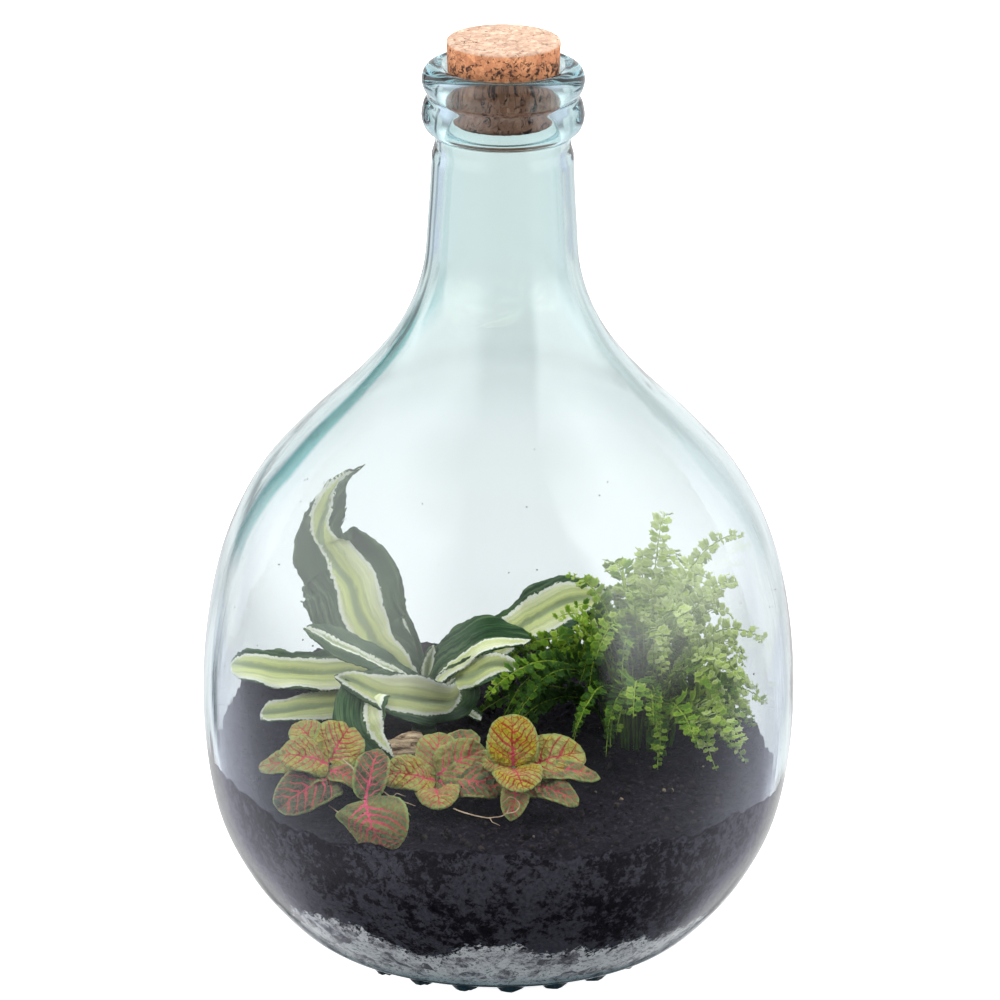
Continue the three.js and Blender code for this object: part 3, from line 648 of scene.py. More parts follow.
def nerve_material():
    """across and run are places on the flat leaf, rib the distance from the midrib, taper the midrib's half
    width and rim the distance from the leaf's edge, all in millimetres. phase is a whole number along each
    side vein, and pitch the distance between two. heart is 1 at the leaf's base and 0 at its tip. tone is 0
    on the darkest leaves and 1 on the yellowest."""
    n = Finish("nerve_leaf")
    tone, heart, rim, phase = (n.attribute(name) for name in ("tone", "heart", "rim", "phase"))
    green = n.ramp(tone, [
        (0.0, (0.070, 0.105, 0.055)), (0.3, (0.19, 0.25, 0.10)), (0.7, (0.45, 0.47, 0.14)),
        (1.0, (0.44, 0.40, 0.02)),
    ])
    green = n.tinted(green, n.ramp(n.noise(420, 4, 0.6), [(0.3, 0.80), (0.7, 1.12)]))
    bent = n.times(n.minus(n.noise(500, 2), 0.5), 2.2)
    place = n.vector(n.plus(n.attribute("across"), bent), n.plus(n.attribute("run"), bent), 0.0)
    net = n.cells(0.47, place=place, feature="DISTANCE_TO_EDGE", voronoi_dimensions="2D")
    net = n.minus(net, n.ramp(tone, [(0.75, 0.0), (1.0, 0.045)]))
    rust = n.ramp(tone, [(0.0, (0.38, 0.13, 0.10)), (0.5, (0.52, 0.18, 0.09)), (1.0, (0.34, 0.03, 0.012))])
    colour = n.mix(n.ramp(net, [(0.030, 0.75), (0.090, 0.0)]), green, rust)
    colour = n.mix(n.ramp(n.noise(130, 2), [(0.52, 0.0), (0.72, 0.15)]), colour, rust)
    margin = n.ramp(n.between(rim, 0, 2.0), [(0.25, 0.9), (0.6, 0.0)])
    colour = n.mix(margin, colour, (0.33, 0.42, 0.14))
    pink = n.ramp(heart, [(0.0, (0.55, 0.10, 0.08)), (0.45, (0.66, 0.10, 0.14)), (1.0, (0.86, 0.14, 0.26))])
    red = n.ramp(heart, [(0.0, (0.34, 0.025, 0.012)), (0.55, (0.42, 0.03, 0.03)), (1.0, (0.80, 0.12, 0.18))])
    pink = n.mix(n.ramp(tone, [(0.55, 0.0), (0.9, 1.0)]), pink, red)
    ragged = n.times(n.minus(n.noise(1100, 3), 0.5), 0.5)
    is_vein = n.math("COMPARE", phase, (SIDE_VEINS + 1) / 2, SIDE_VEINS / 2)
    vein = n.times(n.math("ABSOLUTE", n.minus(phase, n.math("ROUND", phase))), n.attribute("pitch"))
    vein = n.plus(vein, n.times(n.minus(1.0, is_vein), 3.0), n.times(rim, -0.03), ragged)
    rib = n.plus(n.minus(n.math("ABSOLUTE", n.attribute("rib")), n.attribute("taper")), ragged)
    colour = n.mix(n.ramp(vein, [(0.06, 0.95), (0.24, 0.0)]), colour, pink)
    colour = n.mix(n.ramp(rib, [(0.0, 1.0), (0.2, 0.0)]), colour, pink)
    n.let_through(colour, 0.2)
    raised = n.bump(n.ramp(net, [(0.0, 0.0), (0.35, 1.0)]), 0.55, 0.0006)
    return n.done({"Base Color": colour, "Roughness": 0.45, "Normal": raised})


# The bottle

GLASS_SEGMENTS = 200
INNER_WAVE = 0.28
KNOB_ROWS = 16


def with_knobs(p):
    """Lowers the rings of the outer base to the knobs that the bottle stands on."""
    radius = np.hypot(p[..., 0], p[..., 1])
    angle = np.arctan2(p[..., 1], p[..., 0]) - KNOB_FIRST_ANGLE
    pitch = 2 * np.pi / KNOB_COUNT
    off = (angle + pitch / 2) % pitch - pitch / 2
    reach = np.hypot(radius - KNOB_RING_RADIUS, off * radius / KNOB_STRETCH)
    p[..., 2] *= smoothstep(reach, KNOB_FOOT_RADIUS, KNOB_ROOT_RADIUS + 0.4)


def with_waves(p):
    """Makes the inner side of the wall slightly wavy, as blown glass is."""
    flat = p.reshape(-1, 3)
    wave = noise_at(flat * [1, 1, 0.6], 26, 3) + 0.4 * noise_at(flat * [1, 1, 0.5], 9, 4)
    radius = np.maximum(np.hypot(flat[:, 0], flat[:, 1]), 1)
    shrink = 1 - (wave + 1) * 0.5 * INNER_WAVE * smoothstep(radius, 20, 30) / radius
    p[..., :2] *= shrink.reshape(*p.shape[:2], 1)


def glass_bottle():
    base = spline(BASE_OUTLINE + [BODY_OUTLINE[0]], np.linspace(0, 1, 26))[:-1]
    lip = spline(LIP_OUTLINE, np.linspace(0, 1, 50))
    bore = spline([(23.6, 355.6), (22.2, 354), *BORE_OUTLINE], np.linspace(0, 1, 16))[1:]
    inner_floor = spline([INNER_CURVE[0], *FLOOR_OUTLINE], np.linspace(0, 1, 14))[1:]
    outside = [base, OUTER_CURVE, lip, bore]

    def moved(p):
        with_knobs(p[:len(base) + KNOB_ROWS])
        with_waves(p[sum(len(part) for part in outside) - 1:])
        return p

    shape = Shape()
    shape.add(*revolved(np.concatenate([*outside, INNER_CURVE[::-1], inner_floor]), GLASS_SEGMENTS, moved))
    obj = shape.piece("glass_demijohn", glass_material(), ["glass_bottle"])
    obj.visible_shadow = False


CORK_SEGMENTS = 160


def cork():
    """The stopper, with pits and cracks between its granules."""
    heights = np.linspace(CORK_BOTTOM + 1.5, CORK_TOP - 1.2, 60)
    slope = (CORK_TOP_RADIUS - CORK_BOTTOM_RADIUS) / (CORK_TOP - CORK_BOTTOM)
    side = [(CORK_BOTTOM_RADIUS + slope * (z - CORK_BOTTOM), z) for z in heights]
    profile = [
        (0, CORK_BOTTOM), *((r, CORK_BOTTOM) for r in np.linspace(0.8, CORK_BOTTOM_RADIUS - 1.6, 12)),
        (CORK_BOTTOM_RADIUS - 0.9, CORK_BOTTOM), (CORK_BOTTOM_RADIUS, CORK_BOTTOM + 0.8), *side,
        (CORK_TOP_RADIUS - 0.15, CORK_TOP - 0.6), (CORK_TOP_RADIUS - 0.6, CORK_TOP - 0.15),
        *((r, CORK_TOP) for r in np.linspace(CORK_TOP_RADIUS - 1.0, 0.6, 36)), (0, CORK_TOP),
    ]
    points, faces = revolved(profile, CORK_SEGMENTS)
    over = points[:, 2:] - (CORK_TOP + CORK_BOTTOM) / 2
    at_an_end = np.abs(over) > (CORK_TOP - CORK_BOTTOM) / 2 - 0.1
    outward = unit(np.where(at_an_end, UP * np.sign(over), points * [1, 1, 0]))
    crack = rough_at(points * [1, 1, 1.3], 2.6, 11)
    pit = smoothstep(crack, 0.42, 0.75) * smoothstep(noise_at(points, 9, 12), -0.1, 0.35)
    points = points - outward * (pit * 0.8 + 0.12 * (rough_at(points, 1.6, 13) + 1))[:, None]
    shape = Shape()
    top = smoothstep(points[:, 2], CORK_TOP - 1.4, CORK_TOP - 0.5)
    shape.add(points, faces, pit=smoothstep(pit, 0.2, 0.8), top=top)
    shape.piece("cork_stopper_granules", cork_material(), ["cork_stopper"])


# The filling

LAYER_SEGMENTS = 460
ROUND = np.arange(LAYER_SEGMENTS) / LAYER_SEGMENTS * 2 * np.pi
# The rings between soil and gravel, as shares of the layer's radius
MEETING_SHARES = (0.97, 0.9, 0.75, 0.5, 0.25, 0.05)
# The soil's surface is loose over this height
LOOSE_OVER = 50


def spot(r):
    """x and y at a distance from the axis, all round."""
    return r * np.cos(ROUND), r * np.sin(ROUND)


def rim_radius(height_of):
    """How far a layer's surface reaches, all round, where it meets the glass."""
    r = np.full(LAYER_SEGMENTS, 90.0)
    for _ in range(14):
        r = inner_radius(height_of(*spot(r))) + GLASS_CONTACT
    return r


def ring(r, z):
    return np.stack([*spot(r), z + 0 * ROUND], -1)


def wall_rings(high, low, count):
    """Rings against the glass from one height to another."""
    heights = [high + (low - high) * share for share in np.linspace(0, 1, count)]
    return [ring(inner_radius(z) + GLASS_CONTACT, z) for z in heights]


def meeting_rings(raised):
    """Rings between soil and gravel, from the glass inwards."""
    radii = [inner_radius(LAYER_LINE) * share for share in MEETING_SHARES]
    return [ring(r, gravel_height(*spot(r)) + raised) for r in radii]


def ragged_line():
    """Where soil and gravel meet at the glass: the gravel's height, made ragged."""
    r = rim_radius(gravel_height)
    x, y = spot(r)
    level = gravel_height(x, y) + 4.5 * mound(x, y, -58, -75, 18)
    return level + layered_at(ring(r, 0), (4.6, 13, 15), (2.2, 4.5, 16), (0.8, 2, 17))


LAYER_LINE = ragged_line()


def closed_layer(rows):
    """Points and faces of rings from the top middle down to the bottom middle, and each point's depth below
    the line between soil and gravel."""
    points, faces = capped(np.array(rows), rows[0].mean(0), rows[-1].mean(0))
    line = np.append(np.tile(LAYER_LINE, len(rows)), [GRAVEL_HEIGHT] * 2)
    return points, [face[::-1] for face in faces], line - points[:, 2]


def soil():
    """The soil, with a loose surface and a ragged bank against the glass."""
    rim = rim_radius(soil_height)
    bank = 2.2 + layered_at(ring(rim, 0), (3.0, 17, 25), (2.0, 6, 26), (1.0, 2.2, 27))
    top = []
    for share in np.append(np.linspace(0.03, 0.9, 34), np.linspace(0.912, 1, 14)):
        heaped = soil_height(*spot(rim * share)) + bank * smoothstep(share, 0.90, 1.0) ** 1.5
        top.append(ring(np.minimum(rim * share, inner_radius(heaped) + GLASS_CONTACT), heaped))
    wall = wall_rings(top[-1][:, 2], LAYER_LINE, 40)[1:]
    under = meeting_rings(0.3)
    points, faces, depth = closed_layer([*top, *wall, *under])
    at_side = np.zeros(len(points))
    at_side[len(top) * LAYER_SEGMENTS:-len(under) * LAYER_SEGMENTS - 2] = 1
    inside = inner_radius(points[:, 2]) - np.hypot(points[:, 0], points[:, 1])
    free = (1 - at_side) * (points[:, 2] > LOOSE_OVER) * smoothstep(inside, 0, 3)
    lift = 1.6 * rough_at(points, 7, 21, 5) + 0.8 * rough_at(points, 2.4, 22, 3)
    points = points + UP * (lift * free)[:, None]
    # Where the fern's painted shadow lies on the soil's top
    damp = fern_shadow_at(points[:, 0], points[:, 1]) * (1 - at_side)
    shape = Shape()
    shape.add(points, faces, side=at_side, above=-depth, damp=damp)
    shape.piece("potting_soil_fine", soil_material(), ["potting_soil"])


CHIP = ball(1)
CRUMBS = 2200
CRUMB_REACH = 106
CRUMB_CLEARANCE = 3.2
# Grains on the glass, over this height and up to so much higher
SPECKS = 70
SPECKS_OVER = 84
SPECKS_RISE = 90
GRAVEL_CHIPS = 420
GRAVEL_CHIP = 6.4
GRAVEL_FLOOR = 10.1


def lump(rng, size):
    """Points and faces of a random chip about the origin."""
    points, faces = CHIP
    planes = unit(rng.normal(size=(7, 3)))
    for plane, depth in zip(planes, rng.uniform(0.45, 0.95, 7)):
        points = points - np.maximum(points @ plane - depth, 0)[:, None] * plane
    points = points * rng.uniform(0.7, 1.15, 3) * (1 + rng.uniform(-0.28, 0.28, (len(points), 1)) * 0.3)
    axis = unit(rng.normal(size=3))
    angle = np.full(len(points), rng.uniform(0, 2 * np.pi))
    return turned(points, axis, angle) * size / 2, faces


def polar(r, angle, z):
    return [r * math.cos(angle), r * math.sin(angle), z]


def crumbs(rng):
    """Loose crumbs on the soil and against the glass."""
    shape = Shape()
    for _ in range(CRUMBS):
        angle, share = rng.uniform(0, 2 * np.pi), math.sqrt(rng.uniform(0, 1))
        x, y, _ = polar(share * CRUMB_REACH, angle, 0)
        z = float(soil_height(x, y))
        if share * CRUMB_REACH > float(inner_radius(z)) - CRUMB_CLEARANCE:
            continue
        size = rng.uniform(0.8, 1.8) if rng.uniform() < 0.8 else rng.uniform(1.8, 4.0)
        points, faces = lump(rng, size)
        tone = rng.uniform(0, 0.85) if rng.uniform() < 0.985 else 1.0
        # Crumbs in the fern's painted shadow are painted darkest too
        tone *= 1 - float(fern_shadow_at(x, y))
        shape.add(points + [x, y, z + size * 0.25 + rng.uniform(0, 0.8)], faces, tone=tone)
    shape.piece("soil_crumbs", crumb_material(), smooth=False)


def gravel(rng):
    """Crushed stone packed between the bottle's floor and the soil, with loose chips in its top."""
    floor_radius = inner_radius(GRAVEL_FLOOR)
    rows = [*meeting_rings(-0.3)[::-1], *wall_rings(LAYER_LINE, GRAVEL_FLOOR, 30)]
    rows += [ring(floor_radius * share, GRAVEL_FLOOR - 0.1 * share) for share in (0.9, 0.6, 0.3, 0.05)]
    points, faces, depth = closed_layer(rows)
    shape = Shape()
    shape.add(points, faces, depth=depth)
    for _ in range(GRAVEL_CHIPS):
        angle = rng.uniform(0, 2 * np.pi)
        z = float(np.interp(angle, ROUND, LAYER_LINE, period=2 * np.pi)) - rng.uniform(-0.4, 2.0)
        size = GRAVEL_CHIP * rng.uniform(0.5, 1.1)
        points, faces = lump(rng, size)
        points = points + polar(float(inner_radius(z)) - size * 0.3, angle, z)
        most = inner_radius(points[:, 2]) + GLASS_CONTACT + 0.05
        points[:, :2] *= np.minimum(1, most / np.hypot(points[:, 0], points[:, 1]))[:, None]
        shape.add(points, faces, depth=6.0)
    shape.piece("gravel_chips", gravel_material(), ["drainage_gravel"], smooth=False)


BARK = {"x": -34, "y": -6, "rise": 3.2, "half": (11, 6, 5), "turn": 0.2}


def bark():
    points, faces = ball(5)
    x, y, z = points.T
    wave = 1 + 0.13 * np.sin(5 * x + 3 * y) + 0.09 * np.cos(7 * z - 4 * x)
    points = points * wave[:, None] * BARK["half"]
    points = points * (1 + 0.11 * rough_at(points * [0.22, 1, 1], 1.6, 31))[:, None]
    points = turned(points, UP, np.full(len(points), BARK["turn"]))
    points = points + [BARK["x"], BARK["y"], float(soil_height(BARK["x"], BARK["y"])) + BARK["rise"]]
    points[:, 2] = np.maximum(points[:, 2], soil_height(points[:, 0], points[:, 1]) + 0.1)
    shape = Shape()
    shape.add(points, faces)
    shape.piece("bark_chip_fibres", bark_material(), ["bark_chip"])


# Thin roots over the soil between the nerve plant's stems, as points, with their radius
ROOTS = [
    ([(-59, -66, 97), (-53, -70, 93), (-47, -74, 89.5), (-40, -77, 86), (-31, -79, 83)], 0.32),
    ([(-55, -69, 94), (-49, -74, 91), (-45, -76, 86), (-38, -80, 84.5), (-33, -83, 81)], 0.24),
    ([(-47, -74, 89.5), (-47, -76, 86), (-48, -79, 82)], 0.2),
    ([(-40, -77, 86), (-38, -77, 87.5), (-35, -78, 87)], 0.17),
    ([(-17, -72, 79.5), (-10, -77, 79), (-3, -79, 78.5), (3, -76, 79), (5, -70, 81)], 0.26),
    ([(-3, -79, 78.5), (-2, -82, 78), (1, -84, 77.5)], 0.17),
    ([(3, -76, 79), (7, -75, 80), (8, -72, 82), (5, -71, 84), (2, -72, 82)], 0.26),
    ([(-64, -66, 78), (-58, -74, 77), (-57, -82, 76)], 0.25),
]


def roots():
    shape = Shape()
    t = np.linspace(0, 1, 40)
    for points, radius in ROOTS:
        route = spline(points, t)
        route = route + 0.4 * np.stack([noise_at(route, 4, seed) for seed in (41, 42, 43)], 1)
        tube(shape, kept_clear(route, 1.2, 0.2), radius * np.interp(t, [0, 0.6, 1], [1, 0.8, 0.35]), 7)
    shape.piece("creeping_roots", root_material())


def glass_specks(rng):
    """Grains of soil that stick to the inside of the glass over the filling."""
    shape = Shape()
    for _ in range(SPECKS):
        angle = rng.uniform(0, 2 * np.pi)
        z = SPECKS_OVER + SPECKS_RISE * rng.uniform() ** 1.8
        size = rng.uniform(0.4, 1.1)
        points, faces = lump(rng, size)
        shape.add(points + polar(float(inner_radius(z)) - size * 0.15, angle, z), faces, tone=0.8)
    shape.piece("glass_specks", crumb_material(), smooth=False)


# Blades

def blade_frame(curve, t, face, roll):
    """Points, crosswise and upward directions of a blade at times along its curve."""
    along = tangent(spline, curve, t)
    side = turned(unit(np.cross(along, np.asarray(face, float))), along, np.radians(roll))
    return spline(curve, t), side, unit(np.cross(side, along))


def blade(point, side, up, reach, rise):
    """The grid of a blade's points, from how far each lies to the side and how high."""
    return point[:, None] + side[:, None] * reach[..., None] + up[:, None] * rise[..., None]


DRACAENA_STEM = {"x": -29, "y": 16, "radius": 5, "top": 101}
LEAF_FOLD = 0.16
LEAF_THICKNESS = 0.55
# The share of a leaf's length in which it narrows to its tip
LEAF_TIP = 0.06
# Each leaf: its facing, its stations (x, y, z, width, roll), and the shares of dark margin at its two edges,
# one for the whole leaf or one for each station
DRACAENA_LEAVES = [
    ((0.1, -1, 0.3), [(-31, 17, 97, 10), (-41, 20, 106, 22), (-51, 22, 115, 33), (-57, 25, 130, 39),
                      (-60, 27, 138, 39), (-65, 28, 145, 33), (-70, 28, 151, 25), (-70, 29, 159, 17),
                      (-67, 30, 167, 14), (-64.5, 31, 174, 8.5), (-60, 32, 179, 3), (-53, 34, 183, 1.6)],
     (0.26, 0.28, 0.30, 0.33, 0.36, 0.42, 0.46, 0.24, 0.02, 0.0, 0.0, 0.6),
     (0.22, 0.22, 0.22, 0.22, 0.22, 0.20, 0.14, 0.28, 0.42, 0.48, 0.6, 0.6)),
    ((0, -0.6, 1), [(-32, 15, 97, 12), (-54, 8, 105, 18), (-80, 3, 107, 19), (-98, 5, 109, 16),
                    (-106, 6, 110, 9)], 0.02, 0.17),
    ((0.1, -0.6, 0.9), [(-32, 13, 99, 9), (-50, 6, 112, 13), (-63, 0, 120, 15), (-76, -4, 128, 5)],
     0.40, 0.34),
    ((0, -0.6, 1), [(-32, 13, 91, 9), (-56, 0, 96, 14), (-75, -8, 96, 14), (-88, -10, 95, 10),
                    (-92, -10, 95, 7)], 0.0, 0.04),
    ((0, -0.7, 0.7), [(-31, 12, 92, 8), (-42, -6, 105, 14), (-51, -24, 110, 18), (-53.5, -34, 102, 19),
                      (-50, -39, 94, 14), (-40, -43, 88, 3)], 0.02, 0.62),
    ((0, -0.8, 1), [(-27, 12, 96, 10), (-14, -2, 102, 13, -20), (-20, -18, 103, 16, -60), (-40, -26, 108, 19),
                    (-63, -22, 115, 6)],
     (0.7, 0.62, 0.24, 0.14, 0.12), 0.02),
    ((0, -0.5, 1), [(-27, 15, 98, 12), (-17, 11, 112, 20), (-5, 10, 120, 20), (13, 11, 119, 7)], 0.58, 0.03),
    ((-0.2, -0.9, 0.8), [(-25, 19, 96, 9), (-7, 28, 106, 16), (22, 33, 124, 24), (43, 31, 131, 7)],
     0.14, 0.14),
    ((0, -1, 0.6), [(-26, 13, 96, 8), (-14, 3, 106, 12), (-3, -2, 112, 12), (8, -4, 112, 4)], 0.10, 0.12),
    ((0.2, -0.4, 1), [(-27, 11, 92, 8), (-17, 0, 96, 10), (-7, -10, 93, 4)], 0.14, 0.14),
    ((0, 0, 1), [(-26, 20, 95, 11), (-14, 36, 105, 19), (0, 52, 107, 20), (12, 66, 101, 6)], 0.2, 0.2),
    ((0, 0, 1), [(-33, 19, 95, 11), (-48, 38, 110, 22), (-60, 52, 118, 22), (-72, 64, 114, 7)], 0.2, 0.2),
    ((0, -1, 0.6), [(-31, 20, 97, 9), (-41, 35, 112, 17), (-51, 44, 123, 17), (-61, 50, 130, 6)], 0.2, 0.2),
    ((0.2, -1, 0.2), [(-28, 16, 97, 6), (-27, 17, 106, 8), (-25, 17, 114, 3)], 0.2, 0.2),
]
# Leaves whose lit face is turned away, by their number in the list, with how light they are
LEAF_SHADE = {5: 0.66, 3: 0.85}
LEAF_ROW = 0.9
LEAF_COLUMNS = 21


def dracaena_leaf(shape, number, face, stations, left, right):
    """One strap leaf with a fold along its middle, rippled sides and finely jagged margins."""
    curve = [station[:3] for station in stations]
    rows = int(run_along(spline(curve, np.linspace(0, 1, 60)))[-1] / LEAF_ROW)
    t = np.linspace(0, 1, rows)
    width, roll = spline([(s[3], s[4] if len(s) > 4 else 0) for s in stations], t).T
    point, side, up = blade_frame(curve, t, face, roll)
    length = run_along(point)
    tip = np.sqrt(np.clip((1 - t) / LEAF_TIP, 0, 1))
    half = np.maximum(width * tip / 2, 0.15)[:, None]
    u = np.linspace(-1, 1, LEAF_COLUMNS)
    margins = [np.stack([length, 0 * t + 40 * k, 0 * t + number * 7], 1) for k in (0, 1)]
    wave = np.where(u < 0, *(noise_at(m, 9, 5)[:, None] for m in margins))
    teeth = np.where(u < 0, *(layered_at(m, (1, 2.0, 6), (0.7, 5, 8))[:, None] for m in margins))
    edge = 1 + 0.07 * np.minimum(1, 9 / half) * teeth + 0.05 * wave
    reach = half * u * np.where(np.abs(u) > 0.85, edge, 1)
    ripple = wave * np.abs(u) ** 2.2 * np.minimum(half * 0.22, 2.6)
    p = blade(point, side, up, reach, LEAF_FOLD * np.abs(reach) + ripple - 0.5 * np.exp(-reach**2))
    p[1:] = kept_clear(p[1:])
    sway = noise_at(np.stack([length, 0 * t, 0 * t + number * 3], 1), 14, 7)[:, None] * 1.5
    place = np.arange(len(stations)) / (len(stations) - 1)
    dark = [np.interp(t, place, np.broadcast_to(share, len(stations)))[:, None] for share in (left, right)]
    thick_sheet(
        shape, p, LEAF_THICKNESS, left=half + reach - 2 * half * dark[0] + sway, mid=reach + 1.3 * sway,
        right=half - reach - 2 * half * dark[1] - sway, run=length[:, None] + 100 * number,
        shade=LEAF_SHADE.get(number, 1.0),
    )


def dracaena():
    shape = Shape()
    x, y, radius, top = (DRACAENA_STEM[k] for k in ("x", "y", "radius", "top"))
    z = np.linspace(float(soil_height(x, y)) - STEM_DEPTH, top, 60)
    rings = 1 + 0.06 * np.sin(z * 2.4) + 0.03 * np.sin(z * 5.1)
    route = np.stack([0 * z + x, 0 * z + y, z], 1)
    girth = radius * np.linspace(1, 0.75, 60) * rings * 0.95
    tube(shape, route, girth, 24, left=-3.0, right=-3.0, mid=5.0, shade=1.0)
    for number, leaf in enumerate(DRACAENA_LEAVES):
        dracaena_leaf(shape, number, *leaf)
    shape.piece("striped_dracaena", dracaena_material(), ["dracaena"])


# The button fern, frond by frond
FERN_CROWN = (56, 22)
CROWN_RINGS = (4, 8.5, 12.5)
FROND_BARE = 0.22
FROND_TURN = 40
PINNA_CUP = 0.2
PINNA_HALF_THICKNESS = 0.13
# Each frond: its tip's x, y and z, its ring in the crown, its lift and its width
FRONDS = [
    (67, 50, 158, 0, 70, 16), (97, 18, 160, 0, 70, 15), (51, 3, 138, 0, 58, 15), (27, 32, 138, 0, 50, 14),
    (82, 66, 132, 1, 54, 16), (96, 38, 134, 1, 50, 16), (105, 8, 120, 1, 46, 16), (106, -6, 99, 2, 30, 15),
    (95, -32, 92, 2, 28, 15), (76, -35, 93, 2, 30, 15), (52, -32, 102, 2, 38, 15), (30, -34, 98, 2, 36, 10),
    (-6, -19, 105, 2, 42, 15), (-9, -1, 91, 2, 28, 15), (4, 14, 108, 1, 44, 14), (22, -1, 131, 1, 50, 15),
    (74, -12, 130, 1, 60, 15), (26, 72, 110, 1, 44, 16), (56, 86, 108, 2, 40, 16), (44, 64, 128, 1, 60, 16),
    (88, 60, 96, 2, 30, 16), (10, 50, 92, 2, 30, 15), (38, -16, 120, 1, 56, 15), (104, 30, 92, 2, 28, 15),
    (97, -16, 110, 1, 44, 15),
]


def frond_curve(tip, ring, lift):
    """The direction in which a frond leaves the crown, and the four points of its curve."""
    dx, dy = tip[0] - FERN_CROWN[0], tip[1] - FERN_CROWN[1]
    reach = math.hypot(dx, dy)
    heading = np.array([dx / reach, dy / reach, 0])
    start = CROWN_RINGS[ring]
    foot = np.array([FERN_CROWN[0], FERN_CROWN[1], 0]) + heading * start
    ground = float(soil_height(foot[0], foot[1]))
    middle = foot + heading * (reach - start) * 0.5
    return heading, [foot + UP * (ground - STEM_DEPTH), foot + UP * (ground + lift * 0.75),
                     middle + UP * (ground + lift * 1.3), np.array(tip, float)]


def frond_frame(heading, curve, t):
    """Points, lengthwise, crosswise and upward directions of a frond at times along its curve."""
    along = tangent(bezier, curve, t)
    roll = np.radians(heading[0] * FROND_TURN) * smoothstep(t, 0, 0.5)
    side = np.broadcast_to(np.array([heading[1], -heading[0], 0.0]), along.shape)
    side = turned(side, along, roll)
    return bezier(curve, t), along, side, np.cross(side, along)


# The deep shade under the fern's left side, where the leaflets are darkest
FERN_SHADE = {"centre": (27, -4, 100), "radius": 21, "depth": 0.55}
RIM_POINTS = 12
SIDE_SPRAYS = (2, 3, 4)
LEAFLET_PITCH = 2.4
MISSING_LEAFLETS = 0.06


def pinna(shape, base, out, ahead, up, length, width, rng, tone):
    """One leaflet: a rounded, scalloped and cupped blade."""
    m = RIM_POINTS
    k = np.arange(m) / m * 2 * np.pi
    lobes = 1 + 0.17 * np.cos(k * m / 2) + rng.uniform(-0.12, 0.12, m)
    x = (1 - np.cos(k)) / 2
    curl, twist, cup = rng.uniform(-0.5, 0.7), rng.uniform(-0.7, 0.7), rng.uniform(0.1, 0.5)
    rows = []
    for scale in (1.0, 0.55):
        along = (0.5 + (x - 0.5) * scale * lobes) * length
        across = np.sin(k) * (0.72 + 0.28 * x) * lobes * scale * width / 2
        height = PINNA_CUP * along - curl * (along / length) ** 2 * length * 0.5 + twist * across * 0.6
        height = height + cup * (across / (width / 2)) ** 2 * width * 0.3 + 0.12 * np.cos(k * m / 2) * scale
        rows.append(base + out * along[:, None] + ahead * across[:, None] + up * height[:, None])
    top = np.vstack([*rows, rows[1].mean(0) - up * 0.12])
    normal = unit(np.cross(ahead, out)) * PINNA_HALF_THICKNESS
    n = len(top)
    faces = []
    for j in range(m):
        i = (j + 1) % m
        upper = [(j, i, m + i, m + j), (m + j, m + i, 2 * m)]
        faces += [*upper, *(tuple(q + n for q in f[::-1]) for f in upper), (i, j, j + n, i + n)]
    fresh = np.clip(tone + np.append(np.repeat([0.12, -0.05], m), -0.15), 0, 1)
    shape.add(kept_clear(np.vstack([top + normal, top - normal]), 0.9, 0.6), faces, tone=np.tile(fresh, 2))


def spray(shape, heading, curve, bare, width, thick, rng, tone_and_haze):
    """A rib with leaflets on both sides along the part of its curve that isn't bare."""
    t = np.linspace(0, 0.995, 34)
    route = bezier(curve, t)
    route[8:] = kept_clear(route[8:], 1.3, 0.9)
    girth = np.interp(t, [0, 0.3, 1], [1.0, 0.6, 0.3]) * thick
    tube(shape, route, girth, 5, tone=np.interp(t, [0, 0.4, 1], [0.1, 0.75, 0.8]))
    fine = np.linspace(bare, 0.99, 60)
    run = run_along(bezier(curve, fine))
    pairs = max(4, int(run[-1] / LEAFLET_PITCH))
    pitch = run[-1] / pairs
    shares = (np.arange(pairs) + 0.5) / pairs
    point, along, side, up = frond_frame(heading, curve, np.interp(shares * run[-1], run, fine))
    for i, share in enumerate(shares):
        reach = width / 2 * math.sin(math.pi * (0.16 + 0.80 * share)) ** 0.6
        for s in (-1, 1):
            if rng.uniform() < MISSING_LEAFLETS:
                continue
            size = reach * rng.uniform(0.65, 1.2)
            lean = rng.uniform(-0.1, 0.6)
            out = unit(side[i] * s + along[i] * lean + up[i] * rng.uniform(-0.35, 0.35))
            ahead = unit(along[i] - out * np.dot(along[i], out))
            base = point[i] + along[i] * rng.uniform(-0.3, 0.3) * pitch
            # Leaflets low in the fern are painted darker as shade; they are also paler towards each frond's
            # tip
            height = float(np.clip((point[i][2] - SOIL_HEIGHT - 4) / 46, 0, 1))
            tone = np.clip(tone_and_haze - 0.50 + 0.34 * share + 0.58 * height + rng.uniform(-0.26, 0.26), 0, 1)
            inside = np.linalg.norm(base - FERN_SHADE["centre"]) / FERN_SHADE["radius"]
            tone = max(tone - FERN_SHADE["depth"] * math.exp(-inside**2), 0)
            lift = unit(up[i] + along[i] * rng.uniform(-0.4, 0.4))
            broad = min(pitch * rng.uniform(1.15, 1.6), size * 0.85)
            pinna(shape, base, out, ahead, lift, size, broad, rng, tone)


